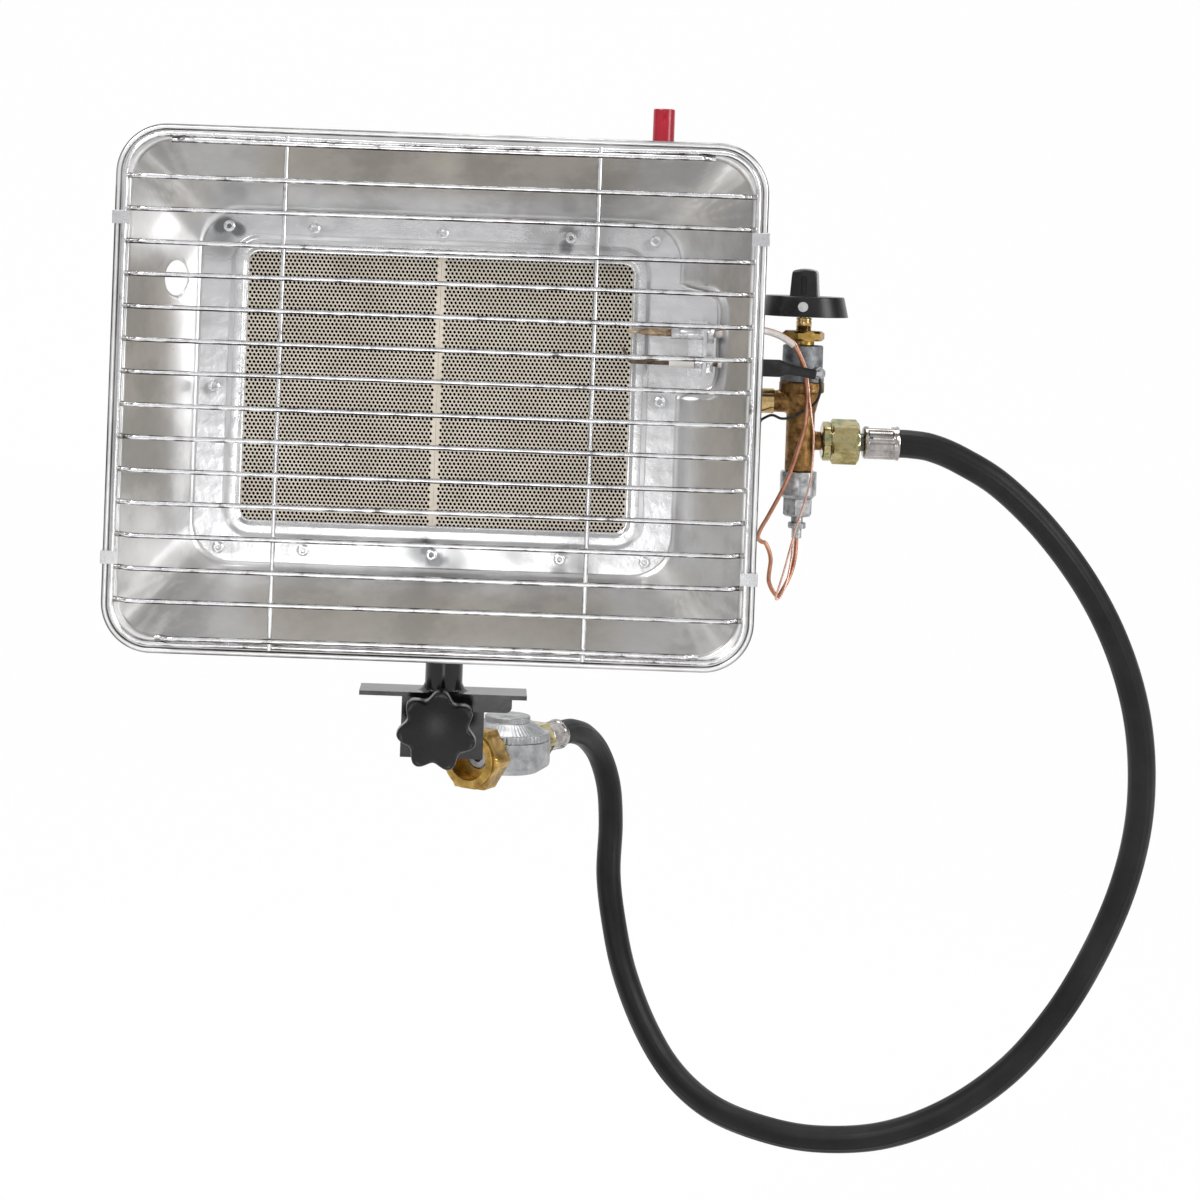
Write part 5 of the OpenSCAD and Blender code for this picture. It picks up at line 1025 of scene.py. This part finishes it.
earth_route = [(6.9, -13.2, 12.2), (7.5, -13.2, 6.9), (5.6, -11.6, 0.6), (-0.5, -9.4, -4.2), (-5.2, -8.2, -7),
               (-10, -8.2, -7.8), (-14.5, -7.2, -6.4), (-18.4, -3, -8.6), (-19.2, -0.6, -10)]
copper = finish("drawn_copper", (0.32, 0.13, 0.075), (0.62, 0.32, 0.21), 1.0, (0.36, 0.52), 130,
                contrast=(0.3, 0.7), grain=1200, bump=0.015)
pink_copper = finish("fine_copper", (0.62, 0.34, 0.26), (0.86, 0.58, 0.48), 1.0, (0.2, 0.34), 200, bump=0.01)
sleeving = finish("glass_sleeving", (0.62, 0.58, 0.55), (0.80, 0.77, 0.74), 0.0, (0.6, 0.75), 150, grain=2600,
                  bump=0.05, Specular_IOR_Level=0.3)
boot_black = finish("boot_black", (0.010, 0.010, 0.011), (0.026, 0.026, 0.028), 0.0, (0.55, 0.7), 90, grain=1500,
                    bump=0.03, Specular_IOR_Level=0.3)
wire_black = finish("wire_black", (0.006, 0.006, 0.006), (0.014, 0.014, 0.015), 0.0, (0.35, 0.5), 120, grain=2000,
                    bump=0.01, Specular_IOR_Level=0.4)
sleeve_path, lead_path = smooth_route(sleeve_route, 8), smooth_route(lead_route, 8)
tracer = np.vstack([sleeve_path[6:], lead_path[1:34]])
tracer_up = np.column_stack([np.full(len(tracer), 0.35), np.full(len(tracer), -0.5), np.full(len(tracer), 0.8)])
away = np.concatenate([np.full(len(sleeve_path) - 6, 1.78), np.full(33, 1.22)])
heading = along(tracer)
tracer_up -= (tracer_up * heading).sum(1, keepdims=True) * heading
tracer_up /= np.linalg.norm(tracer_up, axis=1, keepdims=True)
smooth_away = np.convolve(np.pad(away, 4, mode="edge"), np.full(9, 1 / 9), "valid")
tracer = tracer + tracer_up * smooth_away[:, None]
piece("glass_sleeve", [
    solid(tube(sleeve_path + valve_at, 1.6, 24)),
    solid(tube(tracer + valve_at, 0.3, 8), 1)], "head", [sleeving, pink_copper],
    "lead_sleeve")
piece("copper_lead", [solid(tube(lead_path + valve_at, 1.0, 20))], "head", copper,
      "thermocouple_lead")
piece("fine_wire", [solid(tube(smooth_route(wire_route, 8) + valve_at, 0.48, 12))], "head",
      pink_copper, "sensor_wire")
boot_line = np.array([(-37.95, 0, 0), (-30, 0, 0), (-20, 0, 0), (-13, 0, 0), (-11.5, 0, 0), (-9.5, 0, -0.05),
                      (-7.8, 0, -0.25), (-4, -0.2, -0.9), (0, -0.4, -1.6), (4.0, -0.6, -2.25), (4.25, -0.6, -2.3)])
boot_r = [4.1, 4.15, 4.1, 4.12, 3.75, 2.9, 2.5, 2.32, 2.28, 2.25, 1.9]
boot = tube(smooth_route(boot_line, 5), np.interp(np.arange(51) / 5, np.arange(11), boot_r), 32, (0, 0, 1))
piece("crimp_boot", [solid(boot + valve_at + [0, -16.2, 16.4])], "head", boot_black,
      "earth_sleeve")
piece("earth_lead", [solid(tube(smooth_route(earth_route, 8) + valve_at, 0.65, 14))], "head",
      wire_black, "earth_wire")
dress(["earth_terminal", "earth_screw"], bright_steel)

# ---- Igniter ----
# A glossy red push button in a black moulded piezo body, held by a bent steel strip.
# A white lead runs from it to the spark electrode.
button_red = finish("button_red", (0.26, 0.005, 0.015), (0.38, 0.010, 0.026), 0.0, (0.16, 0.28), 80, grain=1500,
                    bump=0.006, Specular_IOR_Level=0.45)
button_at = head_at + [103.2, 17, 0]
button = turned(round_corners([(0.1, 108.05), (5.1, 108.05), (5.2, 110), (5.12, 137.65), (0.1, 137.7)],
                              [0.3, 0.5, 0.8], 5), 96, "z")
levels = np.sort(np.concatenate([button[:, 0, 2], np.linspace(111, 136, 26)]))
outline_r = np.interp(levels[3:-3], button[:, 0, 2][1:-1], np.linalg.norm(button[:, 0, :2], axis=1)[1:-1])
shaft_turn = 2 * np.pi * np.arange(96) / 96
shaft = np.stack([outline_r[:, None] * np.cos(shaft_turn), outline_r[:, None] * np.sin(shaft_turn),
                  np.repeat(levels[3:-3, None], 96, 1)], -1)
mark = ((np.abs(shaft[..., 0]) < 0.56) & (shaft[..., 1] < 0) & (shaft[..., 2] > 132.2) & (shaft[..., 2] < 135.2))
shaft[..., 1] += 0.55 * mark
piece("push_button", [solid(np.vstack([button[:1], shaft, button[-1:]]) + button_at)], "igniter_button",
      button_red, "piezo_button")
moulded_black = finish("moulded_black", (0.010, 0.010, 0.010), (0.022, 0.022, 0.023), 0.0, (0.35, 0.5), 90,
                       grain=1600, bump=0.015, Specular_IOR_Level=0.4)
piece("igniter_case", [
    (turned(round_corners([(5.28, 114.98), (5.28, 100.3), (0.1, 100.2), (0.1, 78.05), (6.6, 78.05), (7.5, 79.0),
                           (7.5, 109.6), (9.5, 109.6), (9.5, 111.95), (7.5, 111.95), (7.5, 114.98)],
                          [0.1, 0.1, 0.1, 0.3, 0.3, 0.2, 0.3, 0.3, 0.2], 3), 64, "z", button_at), False, True, "")],
    "head", moulded_black, "piezo_body")
spark_lead = [(103.2, 17, 77.8), (103.2, 17.2, 70), (110, 18, 54), (124, 15, 40), (137, 8, 28), (141.5, -1, 20),
              (138, -7.5, 18), (130.5, -9, 17.9)]
silicone = finish("silicone_white", (0.62, 0.61, 0.59), (0.74, 0.73, 0.71), 0.0, (0.4, 0.55), 120, bump=0.01)
piece("spark_lead", [solid(tube(smooth_route(spark_lead, 10) + head_at, 1.5, 24, (0, 1, 0.2)))], "head",
      silicone, "ignition_lead")

# ---- Mixing box ----
# Folded and pressed zinc-coated sheet: a flanged box behind the plaques, the mixing tube and the brackets.
# The flange lies on the dish's back and is held by the frame's rivets.
spangle = finish("zinc_coated_sheet", (0.34, 0.35, 0.36), (0.62, 0.63, 0.64), 1.0, (0.28, 0.46), 75,
                 contrast=(0.35, 0.62), grain=300, bump=0.012)
dress(["burner_housing", "venturi_tube", "valve_bracket", "tilt_bracket", "piezo_bracket"], spangle)
fibre = finish("ceramic_fibre", (0.62, 0.58, 0.52), (0.82, 0.79, 0.74), 0.0, (0.85, 1.0), 90, grain=900, bump=0.15)
dress("plaque_gasket", fibre)
dress(["gas_spreader", "bracket_screws", "tilt_bolt"], bright_steel)
dress("injector", turned_brass)

# ---- Post and clamp ----
# Glossy black enamelled steel: a tube with a flattened eye at its top, where the head tilts.
# It is welded to the clamp plate, whose front jaw takes the screw.
enamel = finish("black_enamel", (0.004, 0.004, 0.0045), (0.009, 0.009, 0.010), 0.0, (0.12, 0.22), 45, grain=260,
                bump=0.03, Specular_IOR_Level=0.42)
post_turn = 2 * np.pi * np.arange(64) / 64


def post_ring(z, half_x, half_y, square):
    """One ring of the post: x and y are the half sizes times cosine and sine raised to the power 2 / square."""
    c, s = np.cos(post_turn), np.sin(post_turn)
    return np.column_stack([half_x * np.sign(c) * np.abs(c) ** (2 / square),
                            half_y * np.sign(s) * np.abs(s) ** (2 / square), np.full(64, z)])


post_rows = [post_ring(2.42, 9.0, 9.0, 2)] + [post_ring(z, 9.0, 9.0, 2) for z in np.linspace(4, 37, 9)]
post_rows += [post_ring(38 + 8 * t, 9.0 - 2.0 * ease(t), 9.0 - 0.7 * t, 2 + 4 * t)
              for t in np.linspace(0, 1, 9)]
post_rows += [post_ring(z, 7.0, 8.3, 6) for z in (50, 55, 57)]
post_rows += [post_ring(57 + 8.3 * math.sin(a), 7.0 - 0.3 * (a > 1.4), max(8.3 * math.cos(a), 0.3), 6)
              for a in np.radians([15, 30, 45, 60, 75, 86])]
foot_weld = turned([(8.6, 2.4), (12.3, 2.42), (11.2, 2.75), (10.0, 3.7), (9.3, 5.0), (8.9, 6.1)], 72, "z",
                   section=1 + 0.012 * np.cos(23 * 2 * np.pi * np.arange(72) / 72)[None])
foot_weld[..., 1] *= 0.8
piece("enamelled_post", [solid(np.stack(post_rows)), solid(foot_weld)], "clamp",
      enamel, "post")
dress(["clamp_plate", "front_jaw"], enamel)

# ---- Star knob and screw ----
# Seven-lobed moulded knob with a domed front, on the clamp's steel M8 screw.
# The screw runs in the front jaw and turns in a swivelling pad.
star_black = finish("star_knob_black", (0.003, 0.003, 0.004), (0.008, 0.008, 0.009), 0.0, (0.20, 0.30), 50,
                    grain=1500, bump=0.012, Specular_IOR_Level=0.34)
star_turn = 2 * np.pi * np.arange(224) / 224
star_r = 17.15 + 2.1 * np.cos(7 * (star_turn - math.radians(85)))
star_at = np.array([-2.0, 0, -12.2])
star_rows = []
for inset, y in [(12.5, -22.52), (1.6, -22.52), (0.7, -22.7), (0.15, -23.3), (0, -24.2), (0, -30.0), (0.12, -31.2),
                 (0.5, -31.95), (1.1, -32.35)]:
    star_rows.append((star_r - inset, np.full(224, y)))
for share in (0.88, 0.8, 0.7, 0.6, 0.5, 0.4, 0.3, 0.2, 0.1, 0.02):
    r = star_r * share
    star_rows.append((r, -34.45 + r**2 / 124))
star_grid = np.stack([np.column_stack([r * np.cos(star_turn), y, r * np.sin(star_turn)]) for r, y in star_rows])
piece("star_grip", [
    solid(star_grid + star_at),
    hollow(turned([(4.05, -22.6), (8.2, -22.6), (8.5, -22.2), (8.5, -17.0), (8.0, -16.55), (4.05, -16.55)], 56, "y",
                  star_at))], "star_screw", star_black, "star_knob", 28)
screw_profile = [(0.1, -26.4)] + [(3.98 - 0.55 * (k % 2), -26.3 + k * 0.625) for k in range(36)]
piece("clamp_spindle", [solid(turned(screw_profile + [(3.4, -3.55), (2.5, -3.5), (2.45, -1.8), (0.1, -1.75)], 40, "y",
                                     star_at))], "star_screw", bright_steel, "clamp_screw")
piece("swivel_foot", [(turned([(2.6, -1.75), (2.6, -3.4), (6.4, -3.45), (7.0, -2.9), (7.0, -1.0), (6.5, -0.5),
                               (0.1, -0.5), (0.1, -1.65)], 48, "y", star_at), False, True, "b")], "pad",
      dark_steel, "swivel_pad")
dress("wing_nut", bright_steel)

# ---- Regulator ----
# Die-cast zinc body with a ribbed cap screwed on, and a brass union nut that turns freely.
# The hose's far nut and crimped sleeve are screwed to its outlet.
regulator_at = np.array([12.5, 98.6, -50.0])
regulator_grey = finish("regulator_zinc", (0.26, 0.265, 0.27), (0.48, 0.485, 0.49), 0.9, (0.34, 0.5), 120,
                        contrast=(0.35, 0.65), grain=900, bump=0.05)


def at_regulator(grids):
    """Grids made along X from the supply's valve, turned 60 degrees and put in place."""
    return [(g @ about_z(60) + regulator_at, *rest) for g, *rest in grids]


body_profile = round_corners([(0.2, -11), (17, -11), (23, -7), (23, 5.98), (0.2, 5.98)], [1.5, 2.0, 0.4], 6)
case = piece("regulator_case", at_regulator([
    solid(turned(body_profile, 80, "z", (41, 0, 0))),
    hollow(turned([(2.5, 10.3), (5.2, 10.35), (5.3, 12.1), (5.9, 12.2), (5.9, 22.5), (2.5, 22.5)], 40, "x")),
    hollow(turned([(2.2, 60.0), (5.9, 60.0), (5.9, 63.7), (5.6, 63.98), (2.2, 63.98)], 40, "x"))]), "clamp",
    regulator_grey, "regulator_body")
ribs = 1 + 0.006 * np.sign(np.cos(60 * 2 * np.pi * np.arange(240) / 240))
cap_profile = round_corners([(0.2, 6.02), (22.5, 6.02), (22.5, 9.9), (20.0, 9.95), (13.0, 15.0), (12.0, 15.0),
                             (12.0, 17.98), (0.2, 18.0)], [0.4, 0.5, 0.5, 1.0, 0.5, 0.8], 4)
cover = piece("regulator_cover", at_regulator([solid(turned(cap_profile, 240, "z", (41, 0, 0), ribs[None]))]),
              "clamp", regulator_grey, "regulator_cap")
union_nut = piece("hand_nut", at_regulator([
    hollow(six_sided([(10.6, 0.05), (14.2, 0.05), (14.5, 0.4), (14.5, 2.0), (15.6, 2.1), (17.3, 3.1), (17.3, 14.9),
                      (14.8, 15.98), (6.1, 15.98), (6.1, 10.6), (10.6, 10.5)], 30, 96, "x"))]),
    "regulator_nut", old_brass, "regulator_nut")
far_nut = hollow(six_sided(nut_profile(19, 64.22, 77.8, 2.1), 19, 72, "x"))
far_sleeve = piece("far_hose_end", at_regulator([far_nut] + crimped(80.0, np.zeros(3), 1)), "clamp",
                   [yellow_zinc, crimp_steel, dark_steel], "hose_end")
